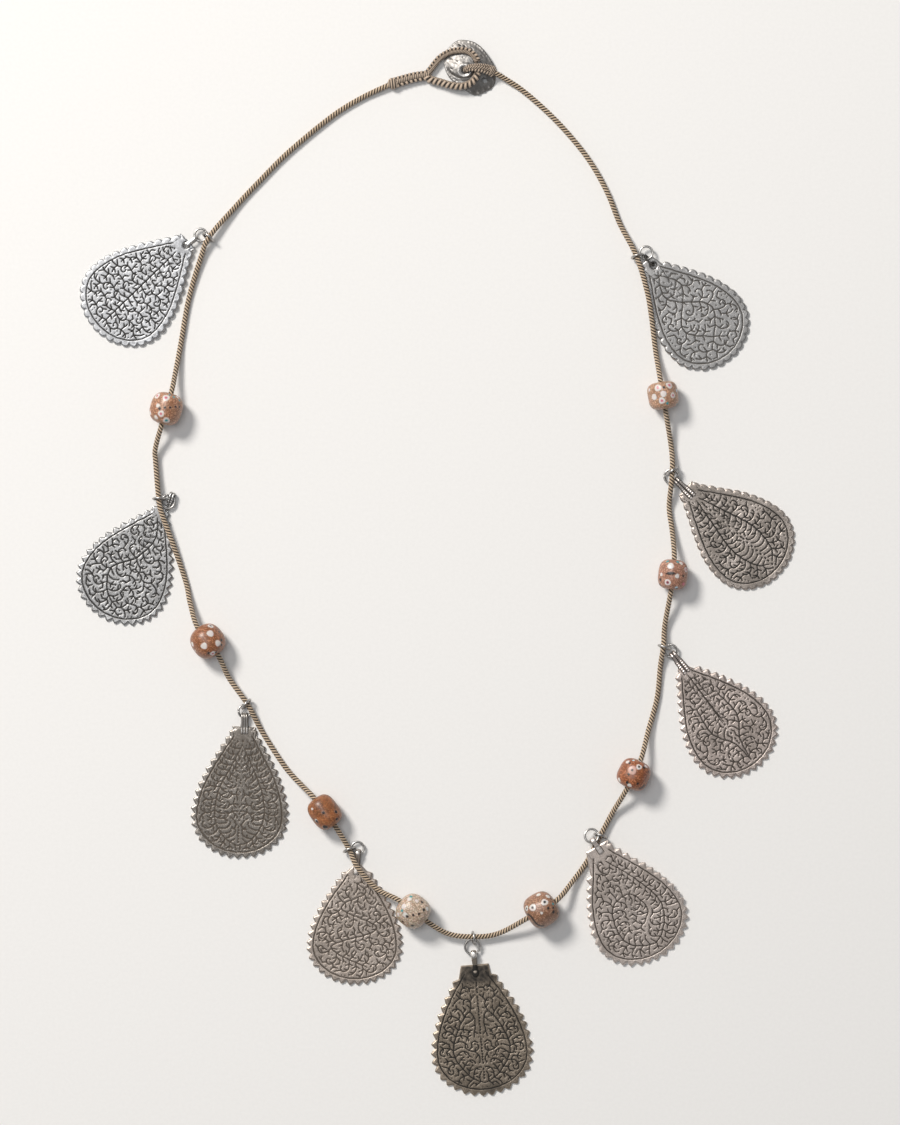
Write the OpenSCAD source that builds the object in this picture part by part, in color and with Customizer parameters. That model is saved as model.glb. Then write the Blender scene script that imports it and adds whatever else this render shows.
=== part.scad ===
/* [Charm plates] */
// Thickness of the silver plates
plate_t = 0.9; // [0.7:0.05:1.1]
// Place of the widest part along a plate, as a share of its length
belly_at = 0.68; // [0.62:0.01:0.74]
// Distance from the tooth tips to the engraved border line
border_inset = 2.4; // [2:0.1:2.8]
// Width of the engraved border line
border_w = 0.5; // [0.3:0.05:0.7]
// Depth of the engraved border line
border_depth = 0.15; // [0.1:0.05:0.25]
// Bare stretch between a plate's tip and the start of its border line
border_from = 7.5; // [7:0.5:10]

/* [Bails] */
// Outer radius of the eye at the end of a bail
eye_r = 1.35; // [1.25:0.05:1.35]
// Radius of the hole through the eye
eye_hole_r = 0.85; // [0.8:0.05:0.9]
// Width of a bail strap
strap_w = 2.4; // [2:0.1:2.6]
// Thickness of a bail strap where it lies on the plate
strap_t = 0.55; // [0.4:0.05:0.7]
// Width of the eye, inside the strap's rims
eye_w = 1.7; // [1.5:0.1:1.9]
// Number of ridges that run along a strap
ridges = 3; // [2:1:4]
// Height of a ridge above its strap
ridge_h = 0.15; // [0.1:0.05:0.2]
// Width of a ridge
ridge_w = 0.34; // [0.3:0.02:0.4]

/* [Rings and links] */
// Wire diameter of the jump rings
wire_d = 0.75; // [0.65:0.05:0.8]
// Outer diameter of the upright rings round the cord
cord_ring_d = 4.7; // [4.6:0.05:4.8]
// Wire diameter of the long links through the two plates with a hole
link_wire_d = 0.75; // [0.65:0.05:0.8]
// Diameter of the hole in those two plates
tip_hole_d = 2; // [1.9:0.1:2.1]

/* [Cord] */
// Diameter of the twisted cord
cord_d = 1.8; // [1.6:0.05:1.9]
// Number of sides of the cord's section
cord_sides = 8; // [8:2:12]

/* [Beads] */
// Diameter of the hole along each bead
bore_d = 2.6; // [2.3:0.1:2.8]
// Squareness of a bead's outline, where 2 is an ellipse
barrel = 3.4; // [2.5:0.1:4]

/* [Clasp] */
// Outer radius of the domed button's surface
dome_r = 19; // [18.5:0.5:20]
// Height of the top of the dome
dome_h = 2.7; // [2.5:0.1:2.9]
// Thickness of the button's shell
dome_t = 0.8; // [0.6:0.05:0.9]
// Diameter of the knotted neck of the loop
neck_d = 3; // [2.8:0.1:3.2]
// Diameter of the loop's thin outer arm
thin_arm_d = 1.4; // [1.2:0.1:1.5]
// Diameter of the loop's thick inner arm
thick_arm_d = 1.8; // [1.6:0.1:1.9]
// Diameter of the shank between the button and the cord
shank_d = 1.9; // [1.7:0.1:2]
// Diameter of the raised rim round the button's main hole
boss_d = 4.6; // [4.2:0.1:4.8]
// Height of that rim above the underside of the dome's shell
boss_h = 1.2; // [1:0.1:1.4]

/* [Hidden] */
eps = 0.01;

// Finishes of the plates, the wire, the cord and the beads
bright = "#c9c8c4";
mid = "#a39d94";
dark = "#76716a";
wire_grey = "#8f8a82";
beige = "#9a8468";
taupe = "#9c7860";
amber = "#8a5a34";
pale = "#b3a692";

// One row for each charm, counted anticlockwise from the upper left.
// tip [x, y], heading from tip to bottom, length, width over the teeth, width and shape of the end
// at the tip, fall of the shoulders, teeth, shape of the teeth, their depth, bare stretch on either
// side of the tip, rise of the tip, finish
charms = [
    [[-82.3, 109.2], 223.9, 43.2, 32.7, 6.9, "flat", 1.15, 37, "scallop", 1.4, [4.6, 3.8], 1.0, bright],
    [[-90.0, 21.5], 241.7, 43.8, 32.5, 4.6, "flat", 1.2, 38, "saw", 1.5, [3.3, 3.3], 0, bright],
    [[-63.7, -52.7], 267.3, 44.2, 33.0, 8.0, "flat", 1.1, 39, "saw", 1.4, [4.1, 4.1], 0, mid],
    [[-25.8, -98.3], 268.1, 40.7, 32.4, 7.0, "roof", 1.1, 36, "saw", 1.4, [5.5, 6.0], 0, mid],
    [[13.2, -132.0], 275.0, 44.0, 34.4, 9.2, "flat", 1.0, 34, "saw", 1.5, [7.8, 8.9], 0, dark],
    [[53.8, -92.2], 299.4, 43.4, 33.6, 8.4, "flat", 1.2, 34, "saw", 1.5, [4.7, 12.2], 2.5, mid],
    [[81.0, -31.2], 306.8, 44.5, 31.8, 4.5, "roof", 1.2, 37, "saw", 1.5, [6.8, 4.8], 0, mid],
    [[83.4, 26.7], 319.0, 42.8, 31.6, 6.8, "flat", 1.2, 39, "scallop", 1.1, [3.4, 3.4], 0, dark],
    [[70.0, 102.5], 312.4, 43.7, 31.0, 5.4, "flat", 1.2, 35, "scallop", 1.3, [7.2, 4.0], 1.0, bright]];
function tip(k) = charms[k][0];
function heading(k) = charms[k][1];
function plate_l(k) = charms[k][2];
function plate_w(k) = charms[k][3];
function tip_share(k) = charms[k][4] / charms[k][3];
function end_corner(k, side, bare) = charms[k][5] == "flat" ? [[0, side * min(charms[k][4] / 2, bare)]] : [];
function fall(k) = charms[k][6];
function teeth(k) = charms[k][7];
function tooth(k) = charms[k][8] == "saw" ? saw : scallop;
function tooth_h(k) = charms[k][9];
function bare(k) = charms[k][10];
function tip_rise(k) = charms[k][11];
function finish(k) = charms[k][12];

// A bail: distance from the plate's tip out to the centre of its eye, height of that centre, length
// of the strap on the plate, place of its root across the tip, and its turn from the plate's axis.
// A plate with no bail has a hole instead: its distance in from the tip and its place across
bails = [
    ["hole", 1.4, 0],
    ["bail", 3.4, 1.4, 0.05, 0.9, 9],
    ["bail", 3.3, 1.4, 2.2, 0.2, 2],
    ["bail", 3.5, 1.4, 3.0, 0, -4],
    ["bail", 3.5, 1.4, 2.0, 0, 0],
    ["bail", 1.9, 3.7, 2.8, 0, 5],
    ["bail", 2.8, 1.4, 4.4, 0, 2],
    ["bail", 3.6, 1.4, 3.7, 0, -3],
    ["hole", 3.0, 1.0]];
function has_bail(k) = bails[k][0] == "bail";
function eye_out(k) = bails[k][1];
function eye_z(k) = bails[k][2];
function strap_l(k) = bails[k][3];
function root_y(k) = bails[k][4];
function turn(k) = bails[k][5];
function hole_at(k) = [bails[k][1], bails[k][2], 0];

// Lying rings: centre, slope about x and about y in degrees, outer diameter
bail_rings = [
    [[-78.0, 111.1, 1.5], [0, 0], 4.9],
    [[-89, 22.2, 1.46], [0, 5.5], 5.2],
    [[-63.4, -47.5, 1.35], [3, 13], 4.9],
    [[-25.8, -93.1, 1.4], [0, 3], 4.9],
    [[12.4, -126.0, 1.45], [2, -3], 5.7],
    [[52.1, -88.9, 3.36], [-8, 2], 5.3],
    [[78.5, -27.4, 1.4], [6, -6], 4.9],
    [[78.8, 30.6, 1.23], [4, -5], 5.6],
    [[70.3, 105.1, 2.3], [0, 0], 5.0]];

// Upright rings round the cord: centre in plan, and the direction of their plane in degrees
cord_rings = [
    [[-75.5, 110.2], -36],
    [[-91.8, 23.2], 0],
    [[-62.8, -45.1], 50],
    [[-28.5, -93.6], 21],
    [[12.8, -122.9], -84],
    [[55.0, -88.9], -18],
    [[76.3, -26.2], -19],
    [[78.9, 32.6], 37],
    [[67.4, 103.9], 16]];

// Long links through a plate's hole: charm, direction in plan, centreline length, height
tip_links = [[0, 29, 4.8, 3.0], [8, 131, 3.9, 3.6]];

// The cord's centre line from the loop's neck to the button's shank, [x, y, z]
route = [
    [-15.5, 161, 1.5], [-25, 156.5, 0.9], [-34.5, 150.5, 0.9], [-48.5, 139, 0.9], [-59, 128.5, 0.9],
    [-66.5, 120.5, 1.2], [-75, 110.5, 2.7], [-78, 103.5, 1.6], [-82, 90, 0.9], [-84.5, 76, 0.9],
    [-86.5, 64.5, 3.2], [-87.7, 58.2, 5.4], [-90.7, 48, 5.4], [-93, 40, 2.9], [-93, 35.5, 2.2],
    [-92, 24, 2.9], [-91, 18.5, 3], [-87, 7.5, 2], [-83, -4.5, 1], [-81.5, -11.5, 2.6],
    [-78.8, -19.7, 5.5], [-72.2, -28.5, 5.5], [-68.5, -36.5, 2.8], [-62.5, -45, 2.7], [-57.5, -54.5, 0.9],
    [-50, -66, 0.9], [-44.5, -72, 2.6], [-40, -76.5, 4.7], [-33.4, -85.3, 4.7], [-28.5, -93.5, 2.9],
    [-26, -99, 3.2], [-19.5, -106.5, 2.6], [-11.5, -110.5, 5.4], [-3, -117, 5.4], [4.5, -121.5, 3],
    [12.5, -122.5, 2.7], [21, -121.5, 2.5], [30.9, -116, 5.8], [39.9, -110.6, 5.8], [45.5, -104.5, 2.4],
    [51, -97, 0.9], [55, -89, 1.85], [59, -81.5, 1.8], [64, -72.8, 5.4], [68.2, -63.9, 5.4],
    [71, -54, 2], [74, -43, 0.9], [75, -33, 1.3], [76, -26, 2.7], [76.5, -19, 1.9],
    [78.5, -7, 5], [79.5, 3, 5], [79, 12, 2.2], [78, 20, 1.2], [78.5, 27, 3.1], [79, 34, 2.85],
    [78.5, 41.5, 1.9], [76.5, 53, 5], [75, 62, 5], [73.5, 72, 1.8], [72, 84, 2.6],
    [70.5, 92.5, 2.8], [67, 104, 2.8], [61.5, 115, 0.9], [57.5, 125, 0.9], [52, 135, 0.9],
    [45.5, 143.5, 0.9], [38, 151.5, 0.9], [29.5, 159, 0.9], [23.5, 163, 1.6], [20, 165, 2.6]];
cord_step = 10;
loop_step = 3;
shank_step = 1.5;

// Beads: the route's point where the cord enters, diameter, and colour
beads = [
    [11, 10.8, taupe], [20, 11.0, taupe], [27, 9.4, amber], [32, 10.8, pale],
    [37, 11.6, taupe], [43, 10.8, taupe], [50, 10.0, taupe], [57, 10.0, taupe]];

// The clasp: the button's centre, its outline, and the centre lines of the loop and the shank
button_at = [11.5, 167.2];
button_outline = [
    [9.3, 176.1], [6.7, 175.5], [3.7, 172.2], [3, 168.2], [4.3, 164.2], [6.7, 161.8], [12.7, 157.9],
    [16.7, 158.8], [19.7, 161.2], [20, 166.5], [16.7, 172.2], [13.3, 175.2]];
button_holes = [[9.5, 165.5, 2.6], [13.5, 168.8, 1.6], [16.5, 162.5, 1.6]];
neck_route = [
    [-15.1, 161.2, 1.6], [-11, 162.5, 1.6], [-7, 163.6, 1.6], [-3.3, 164.2, 1.6], [-1.6, 164.6, 1.6]];
thin_route = [
    [-3, 164.3, 1.7], [-1.2, 166.5, 1.7], [1.5, 169.8, 1.9], [5, 171.9, 2.3], [8.3, 172.4, 2.9],
    [11, 172, 3.1], [13, 170.6, 3.4], [14.3, 168.4, 3.5]];
thick_route = [
    [-3, 164.3, 1.6], [-1.4, 162.8, 1.6], [1.7, 161.9, 1.9], [5, 160.9, 2.3], [8.3, 160.4, 2.7],
    [11, 161, 3], [13, 162.4, 3.3], [14.2, 165, 3.5], [14.3, 168, 3.5]];
shank_route = [
    [9.4, 165.4, 1.2], [9.5, 165.5, 3.2], [10.6, 166.1, 4.9], [13, 166.6, 5.5], [15.2, 166.4, 5.4],
    [18, 165.8, 3.8], [19.7, 165.2, 2.8]];

// Outline of a plate: half width at a share t of the length, as a share of the half width
function half_w(t, share, fall) = t < belly_at
    ? share + (1 - share) * pow(sin(90 * t / belly_at), fall)
    : sqrt(max(0, 1 - pow((t - belly_at) / (1 - belly_at), 2)));
outline_steps = 64;
function half_outline(k) = concat([[0, 0]], [for (i = [0:outline_steps])
    let (t = (1 - cos(180 * i / outline_steps)) / 2)
    [plate_l(k) * t, plate_w(k) / 2 * half_w(t, tip_share(k), fall(k))]]);
// Running length along a line of points
function run(p, i = 0, s = 0) = i >= len(p) ? []
    : let (d = i == 0 ? 0 : norm(p[i] - p[i - 1])) concat([s + d], run(p, i + 1, s + d));
function column(s, p, c) = [for (i = [0:len(p) - 1]) [s[i], p[i][c]]];

// Teeth as [share of the pitch, share of the depth cut in]
saw = [[0, 1], [0.5, 0]];
scallop = [[0, 1], [0.14, 0.38], [0.32, 0.08], [0.5, 0], [0.68, 0.08], [0.86, 0.38]];

// Point of a plate's edge at running length s, moved in by d
function edge_at(xs, ys, half, s) = s <= half ? [lookup(s, xs), lookup(s, ys)]
    : [lookup(2 * half - s, xs), -lookup(2 * half - s, ys)];
function edge_in(xs, ys, half, s, d) =
    let (a = edge_at(xs, ys, half, s - 0.15), b = edge_at(xs, ys, half, s + 0.15), t = (b - a) / norm(b - a))
    edge_at(xs, ys, half, s) + d * [t[1], -t[0]];

// The cord's smooth curve through its route points, and the corners of a round tube along it
function spline(p, i, t) =
    let (a = p[max(i - 1, 0)], b = p[i], c = p[i + 1], d = p[min(i + 2, len(p) - 1)])
    0.5 * (2 * b + (c - a) * t + (2 * a - 5 * b + 4 * c - d) * t * t + (3 * b - a - 3 * c + d) * t * t * t);
function steps(p, i, step) = max(1, round(norm(p[i + 1] - p[i]) / step));
function smooth(p, step) = concat([for (i = [0:len(p) - 2]) for (j = [0:steps(p, i, step) - 1])
    spline(p, i, j / steps(p, i, step))], [p[len(p) - 1]]);
function unit(v) = v / norm(v);
function tube_ring(p, i, r, sides) =
    let (n = len(p), along = unit(p[min(i + 1, n - 1)] - p[max(i - 1, 0)]),
         across = unit(cross(along, [0, 0, 1])), up = cross(across, along))
    [for (j = [0:sides - 1]) let (a = 360 * (j + 0.5) / sides) p[i] + r * (cos(a) * across + sin(a) * up)];

module tube(p, d, sides) {
    n = len(p);
    corners = [for (i = [0:n - 1]) each tube_ring(p, i, d / 2 / cos(180 / sides) * 0.98, sides)];
    walls = [for (i = [0:n - 2], j = [0:sides - 1]) let (a = i * sides + j, b = i * sides + (j + 1) % sides)
        [a, b, b + sides, a + sides]];
    first = [for (j = [0:sides - 1]) sides - 1 - j];
    last = [for (j = [0:sides - 1]) (n - 1) * sides + j];
    polyhedron(corners, concat([first, last], walls), convexity = 10);
}

module plate_shape(k) {
    p = half_outline(k);
    s = run(p);
    half = s[len(s) - 1];
    xs = column(s, p, 0);
    ys = column(s, p, 1);
    from = bare(k)[0];
    to = 2 * half - bare(k)[1];
    pitch = (to - from) / teeth(k);
    edge = [for (i = [0:teeth(k) - 1]) for (q = tooth(k))
        edge_in(xs, ys, half, from + pitch * (i + q[0]), tooth_h(k) * q[1])];
    polygon(concat([[0, 0]], end_corner(k, 1, bare(k)[0]), edge,
                   [edge_in(xs, ys, half, to, tooth_h(k))], end_corner(k, -1, bare(k)[1])));
}

// A smaller outline that keeps the given distance from the edge
module inner_shape(k, inset) {
    p = half_outline(k);
    s = run(p);
    half = s[len(s) - 1];
    xs = column(s, p, 0);
    ys = column(s, p, 1);
    count = 60;
    from = border_from + inset;
    polygon([for (i = [0:count]) edge_in(xs, ys, half, from + (2 * half - 2 * from) * i / count, inset)]);
}

module border_line(k) {
    translate([0, 0, plate_t - border_depth]) linear_extrude(border_depth + eps) difference() {
        inner_shape(k, border_inset);
        inner_shape(k, border_inset + border_w);
    }
}

// Side view of a bail: a strap on the plate that rises into the eye
module bail_profile(k, grow) {
    z = eye_z(k) - tip_rise(k);
    difference() {
        union() {
            translate([-eye_out(k), z]) circle(eye_r + grow, $fn = 48);
            polygon([[-eye_out(k), z - 0.3], [-eye_out(k) + 0.3, z + eye_r + grow],
                     [0, plate_t + strap_t + grow], [strap_l(k), plate_t + strap_t + grow],
                     [strap_l(k), plate_t - eps], [0.2, plate_t - eps], [0.2, plate_t / 2],
                     [-0.1, plate_t / 2]]);
        }
        translate([-eye_out(k), z]) circle(eye_hole_r, $fn = 48);
    }
}

module slice(w, y = 0) {
    translate([0, y + w / 2, 0]) rotate([90, 0, 0]) linear_extrude(w) children();
}

module bail(k) {
    slice(eye_w) bail_profile(k, 0);
    difference() {
        slice(strap_w) bail_profile(k, 0);
        translate([-eye_out(k) - 5, -strap_w, -5]) cube([eye_out(k) + 4.2, 2 * strap_w, 20]);
    }
    pitch = (eye_w - ridge_w) / (ridges - 1);
    for (r = [0:ridges - 1]) slice(ridge_w, (r - (ridges - 1) / 2) * pitch) intersection() {
        bail_profile(k, ridge_h);
        translate([-eye_out(k) - 5, plate_t + eps * 2]) square([20, 20]);
    }
}

// Tips the plate about its bottom end, which stays on the ground
module placed(k) {
    slope = asin(tip_rise(k) / plate_l(k));
    translate([tip(k)[0], tip(k)[1], 0]) rotate([0, 0, heading(k)]) translate([plate_l(k), 0, 0])
        rotate([0, slope, 0]) translate([-plate_l(k), 0, 0]) children();
}

module charm(k) {
    color(finish(k)) placed(k) {
        difference() {
            linear_extrude(plate_t) plate_shape(k);
            border_line(k);
            if (!has_bail(k)) translate(hole_at(k) - [0, 0, 1])
                cylinder(d = tip_hole_d, h = plate_t + 2, $fn = 48);
        }
        if (has_bail(k)) translate([0, root_y(k), 0]) rotate([0, 0, turn(k)]) bail(k);
    }
}

module torus(d, wire) {
    rotate_extrude($fn = 72) translate([(d - wire) / 2, 0]) circle(d = wire, $fn = 24);
}

module bail_ring(k) {
    ring = bail_rings[k];
    color(wire_grey) translate(ring[0]) rotate([ring[1][0], ring[1][1], 0]) torus(ring[2], wire_d);
}

module cord_ring(k) {
    ring = cord_rings[k];
    color(wire_grey) translate([ring[0][0], ring[0][1], cord_ring_d / 2 + 0.03])
        rotate([90, 0, ring[1]]) torus(cord_ring_d, wire_d);
}

// A long wire link that stands upright, from the plate's hole outwards
module tip_link(row) {
    k = row[0];
    bend = (row[3] - link_wire_d) / 2;
    straight = max(eps, row[2] - 2 * bend);
    color(wire_grey) translate([tip(k)[0], tip(k)[1], 0]) rotate([0, 0, heading(k)]) translate(hole_at(k))
        rotate([0, 0, row[1] - heading(k)]) translate([bend, 0, row[3] / 2 + 0.02]) rotate([90, 0, 0]) {
            rotate([0, 0, 90]) rotate_extrude(angle = 180, $fn = 72)
                translate([bend, 0]) circle(d = link_wire_d, $fn = 24);
            translate([straight, 0, 0]) rotate([0, 0, -90]) rotate_extrude(angle = 180, $fn = 72)
                translate([bend, 0]) circle(d = link_wire_d, $fn = 24);
            for (side = [-1, 1]) translate([0, side * bend, 0]) rotate([0, 90, 0])
                cylinder(d = link_wire_d, h = straight, $fn = 24);
        }
}

// A barrel bead round the cord, between two points of the route
module bead(row) {
    a = route[row[0]];
    b = route[row[0] + 1];
    l = norm(b - a);
    r = row[1] / 2;
    profile = [for (i = [0:20]) let (t = 9 * i - 90)
        [r * pow(cos(t), 2 / barrel), l / 2 * sign(t) * pow(abs(sin(t)), 2 / barrel)]];
    color(row[2]) translate((a + b) / 2) rotate([0, acos((b[2] - a[2]) / l), atan2(b[1] - a[1], b[0] - a[0])])
        difference() {
            rotate_extrude($fn = 96) polygon(profile);
            cylinder(d = bore_d, h = l + 2, center = true, $fn = 48);
        }
}

module clasp_button() {
    low = dome_h - dome_r;
    color(mid) difference() {
        union() {
            intersection() {
                translate([button_at[0], button_at[1], low]) difference() {
                    sphere(dome_r, $fn = 120);
                    sphere(dome_r - dome_t, $fn = 120);
                }
                linear_extrude(10) polygon(button_outline);
            }
            translate([button_holes[0][0], button_holes[0][1], dome_h - dome_t])
                cylinder(d = boss_d, h = boss_h, $fn = 48);
        }
        for (h = button_holes) translate([h[0], h[1], -1]) cylinder(d = h[2], h = 10, $fn = 48);
    }
}

module clasp_loop() {
    color(beige) {
        tube(smooth(neck_route, loop_step), neck_d, 10);
        tube(smooth(thin_route, loop_step), thin_arm_d, 8);
        tube(smooth(thick_route, loop_step), thick_arm_d, 8);
    }
}

module clasp_shank() {
    color(beige) tube(smooth(shank_route, shank_step), shank_d, 10);
}

module cord() {
    color(beige) tube(smooth(route, cord_step), cord_d, cord_sides);
}

for (k = [0:8]) {
    charm(k);
    bail_ring(k);
    cord_ring(k);
}
for (row = tip_links) tip_link(row);
for (k = [0:7]) bead(beads[k]);
clasp_button();
clasp_loop();
clasp_shank();
cord();
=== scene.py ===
import math
import bmesh
import bpy
import numpy as np
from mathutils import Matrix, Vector


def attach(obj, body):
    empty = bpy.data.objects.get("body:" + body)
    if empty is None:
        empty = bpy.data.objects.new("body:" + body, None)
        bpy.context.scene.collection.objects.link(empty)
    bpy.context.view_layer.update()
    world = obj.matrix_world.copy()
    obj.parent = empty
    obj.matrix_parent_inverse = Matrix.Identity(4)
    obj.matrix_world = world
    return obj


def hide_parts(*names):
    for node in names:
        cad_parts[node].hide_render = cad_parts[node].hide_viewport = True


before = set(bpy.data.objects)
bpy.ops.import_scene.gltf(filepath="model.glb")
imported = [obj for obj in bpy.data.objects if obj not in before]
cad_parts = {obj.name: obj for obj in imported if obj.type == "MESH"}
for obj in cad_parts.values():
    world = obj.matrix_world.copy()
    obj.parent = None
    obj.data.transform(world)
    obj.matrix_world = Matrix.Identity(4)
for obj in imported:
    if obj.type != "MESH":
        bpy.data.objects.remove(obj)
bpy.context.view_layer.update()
scene = bpy.context.scene
mm = 0.001
print("frame loaded:", len(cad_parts), "nodes")


# camera, straight above the necklace as it lies

view = {"aim": (5, 2), "height": 375, "lens": 150, "sensor": 36}   # mm


def makeCamera():
    camera = bpy.data.objects.new("camera", bpy.data.cameras.new("camera"))
    camera.data.sensor_fit = "VERTICAL"
    camera.data.sensor_height = view["sensor"]
    camera.data.lens = view["lens"]
    distance = view["height"] * view["lens"] / view["sensor"]
    camera.location = Vector((*view["aim"], distance)) * mm
    scene.collection.objects.link(camera)
    scene.camera = camera


makeCamera()
print("camera set")


# helpers: routes, and meshes that are shaped from a grid

def runningLength(line):
    return np.concatenate([[0], np.cumsum(np.linalg.norm(np.diff(line, axis=0), axis=1))])


def evenRoute(path, count):   # the same route with its points evenly spaced
    reach = runningLength(path)
    even = np.linspace(0, reach[-1], count)
    return np.column_stack([np.interp(even, reach, path[:, axis]) for axis in range(path.shape[1])])


def smoothRoute(points, step):   # evenly spaced points on the smooth curve through a route
    p = np.array(points, float)
    padded = np.vstack([p[:1], p, p[-1:]])
    t = np.linspace(0, 1, 24, endpoint=False)[:, None]   # 24 fine steps from one point to the next
    parts = []
    for i in range(len(p) - 1):
        a, b, c, d = padded[i:i + 4]
        parts.append(0.5 * (2 * b + (c - a) * t + (2 * a - 5 * b + 4 * c - d) * t ** 2
                            + (3 * b - a - 3 * c + d) * t ** 3))
    fine = np.vstack(parts + [p[-1:]])
    return evenRoute(fine, max(2, round(runningLength(fine)[-1] / step) + 1))


def unitRows(v):
    return v / np.maximum(np.linalg.norm(v, axis=-1, keepdims=True), 1e-9)


def clamped(v):   # values kept between 0 and 1
    return np.clip(v, 0, 1)


def bell(distance, width):   # 1 at no distance, and softly down to 0
    return np.exp(-(distance / width) ** 2)


def aroundTurn(sides):   # the angles of a closed ring, its first one again at the end
    return np.linspace(0, 2 * np.pi, sides + 1)


def routeFrames(path, up=(0, 0, 1)):   # directions along, across and above a route
    along = unitRows(np.gradient(path, axis=0))
    across = unitRows(np.cross(along, np.broadcast_to(up, along.shape)))
    return along, across, np.cross(across, along)


def gridMesh(name, points, marks=None, closedU=False, closedV=False, caps=False, inside=None):
    # points has rows along v and columns along u, in mm; marks are values kept on the vertices
    rows, cols = points.shape[:2]
    bm = bmesh.new()
    bmesh.ops.create_grid(bm, x_segments=cols - 1, y_segments=rows - 1, size=1)
    mesh = bpy.data.meshes.new(name)
    bm.to_mesh(mesh)
    bm.free()
    mesh.vertices.foreach_set("co", (points.reshape(-1) * mm).astype(np.float32))
    for key, value in (marks or {}).items():
        colour = value.shape[-1] == 4 and value.ndim == 3
        kind = "FLOAT_COLOR" if colour else "FLOAT"
        layer = mesh.attributes.new(key, kind, "POINT")
        layer.data.foreach_set("color" if colour else "value", value.reshape(-1).astype(np.float32))
    bm = bmesh.new()
    bm.from_mesh(mesh)
    if inside is not None:
        bm.verts.ensure_lookup_table()
        drop = [bm.verts[i] for i in np.flatnonzero(inside.reshape(-1))]
        bmesh.ops.delete(bm, geom=drop, context="VERTS")
    if closedU or closedV:
        bmesh.ops.remove_doubles(bm, verts=bm.verts, dist=1e-6)
    if caps:
        bmesh.ops.holes_fill(bm, edges=[e for e in bm.edges if e.is_boundary], sides=0)
    bmesh.ops.recalc_face_normals(bm, faces=bm.faces)
    bm.to_mesh(mesh)
    bm.free()
    return mesh


def joined(name, meshes):   # one mesh from several, with their attributes
    if len(meshes) == 1:
        meshes[0].name = name
        return meshes[0]
    parts = []
    for mesh in meshes:
        part = bpy.data.objects.new("part", mesh)
        scene.collection.objects.link(part)
        parts.append(part)
    with bpy.context.temp_override(active_object=parts[0], selected_editable_objects=parts):
        bpy.ops.object.join()
    mesh = parts[0].data
    bpy.data.objects.remove(parts[0])
    mesh.name = name
    return mesh


def addPiece(name, mesh, material, slot, *nodes):
    piece = bpy.data.objects.new(name, mesh)
    scene.collection.objects.link(piece)
    mesh.materials.clear()
    mesh.materials.append(material)
    mesh.polygons.foreach_set("use_smooth", [True] * len(mesh.polygons))
    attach(piece, "root")
    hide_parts(*nodes)
    return piece


def ropeMesh(name, path, s):   # lobes that wind along a route, with a groove mark between them where the thread gets painted shade
    across, above = routeFrames(path)[1:]
    around = aroundTurn(s["sides"])[None, :]
    angle = around + 2 * np.pi * runningLength(path)[:, None] / s["lead"]
    crest = np.abs(np.sin(around * s["lobes"] / 2)) + 0 * angle
    size = s["radius"] * (1 - s["lobeDepth"] * (1 - crest ** 0.7))
    ring = np.cos(angle)[..., None] * across[:, None] + np.sin(angle)[..., None] * above[:, None]
    points = path[:, None] + size[..., None] * ring
    return gridMesh(name, points, {"groove": 1 - crest}, closedU=True, caps=True)


# node tools

def setInputs(tree, node, values):   # links a socket, or sets a number or a colour
    for key, value in values.items():
        if isinstance(value, bpy.types.NodeSocket):
            tree.links.new(value, node.inputs[key])
        else:
            node.inputs[key].default_value = (*value, 1) if isinstance(value, tuple) else value


def addNode(tree, kind, inputs=None, **settings):
    made = tree.nodes.new(kind)
    for key, value in settings.items():
        setattr(made, key, value)
    setInputs(tree, made, inputs or {})
    return made


def ramp(tree, factor, stops):
    made = addNode(tree, "ShaderNodeValToRGB", {"Fac": factor})
    while len(made.color_ramp.elements) < len(stops):
        made.color_ramp.elements.new(0.5)
    for element, (place, tone) in zip(made.color_ramp.elements, stops):
        element.position = place
        element.color = (*tone, 1) if isinstance(tone, tuple) else (tone, tone, tone, 1)
    return made.outputs["Color"]


def mixColour(tree, factor, a, b):
    return addNode(tree, "ShaderNodeMix", {0: factor, 6: a, 7: b}, data_type="RGBA").outputs[2]


def maths(tree, operation, a, b=0.0, clamp=False):
    return addNode(tree, "ShaderNodeMath", {0: a, 1: b}, operation=operation, use_clamp=clamp).outputs[0]


def noise(tree, vector, scale, detail, rough=0.5, twist=0.0):
    made = addNode(tree, "ShaderNodeTexNoise", {"Vector": vector, "Scale": scale, "Detail": detail,
                                                "Roughness": rough, "Distortion": twist})
    return made.outputs["Fac"]


def addBump(tree, shader, height, strength, distance):
    bump = addNode(tree, "ShaderNodeBump", {"Height": height, "Strength": strength, "Distance": distance})
    tree.links.new(bump.outputs["Normal"], shader.inputs["Normal"])


def newGroup(name, inputs, outputs):
    group = bpy.data.node_groups.new(name, "ShaderNodeTree")
    for label, kind, value in inputs:
        socket = group.interface.new_socket(label, in_out="INPUT", socket_type="NodeSocket" + kind)
        if value is not None:
            socket.default_value = value
    for label, kind in outputs:
        group.interface.new_socket(label, in_out="OUTPUT", socket_type="NodeSocket" + kind)
    return group, group.nodes.new("NodeGroupInput").outputs, group.nodes.new("NodeGroupOutput").inputs


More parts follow.
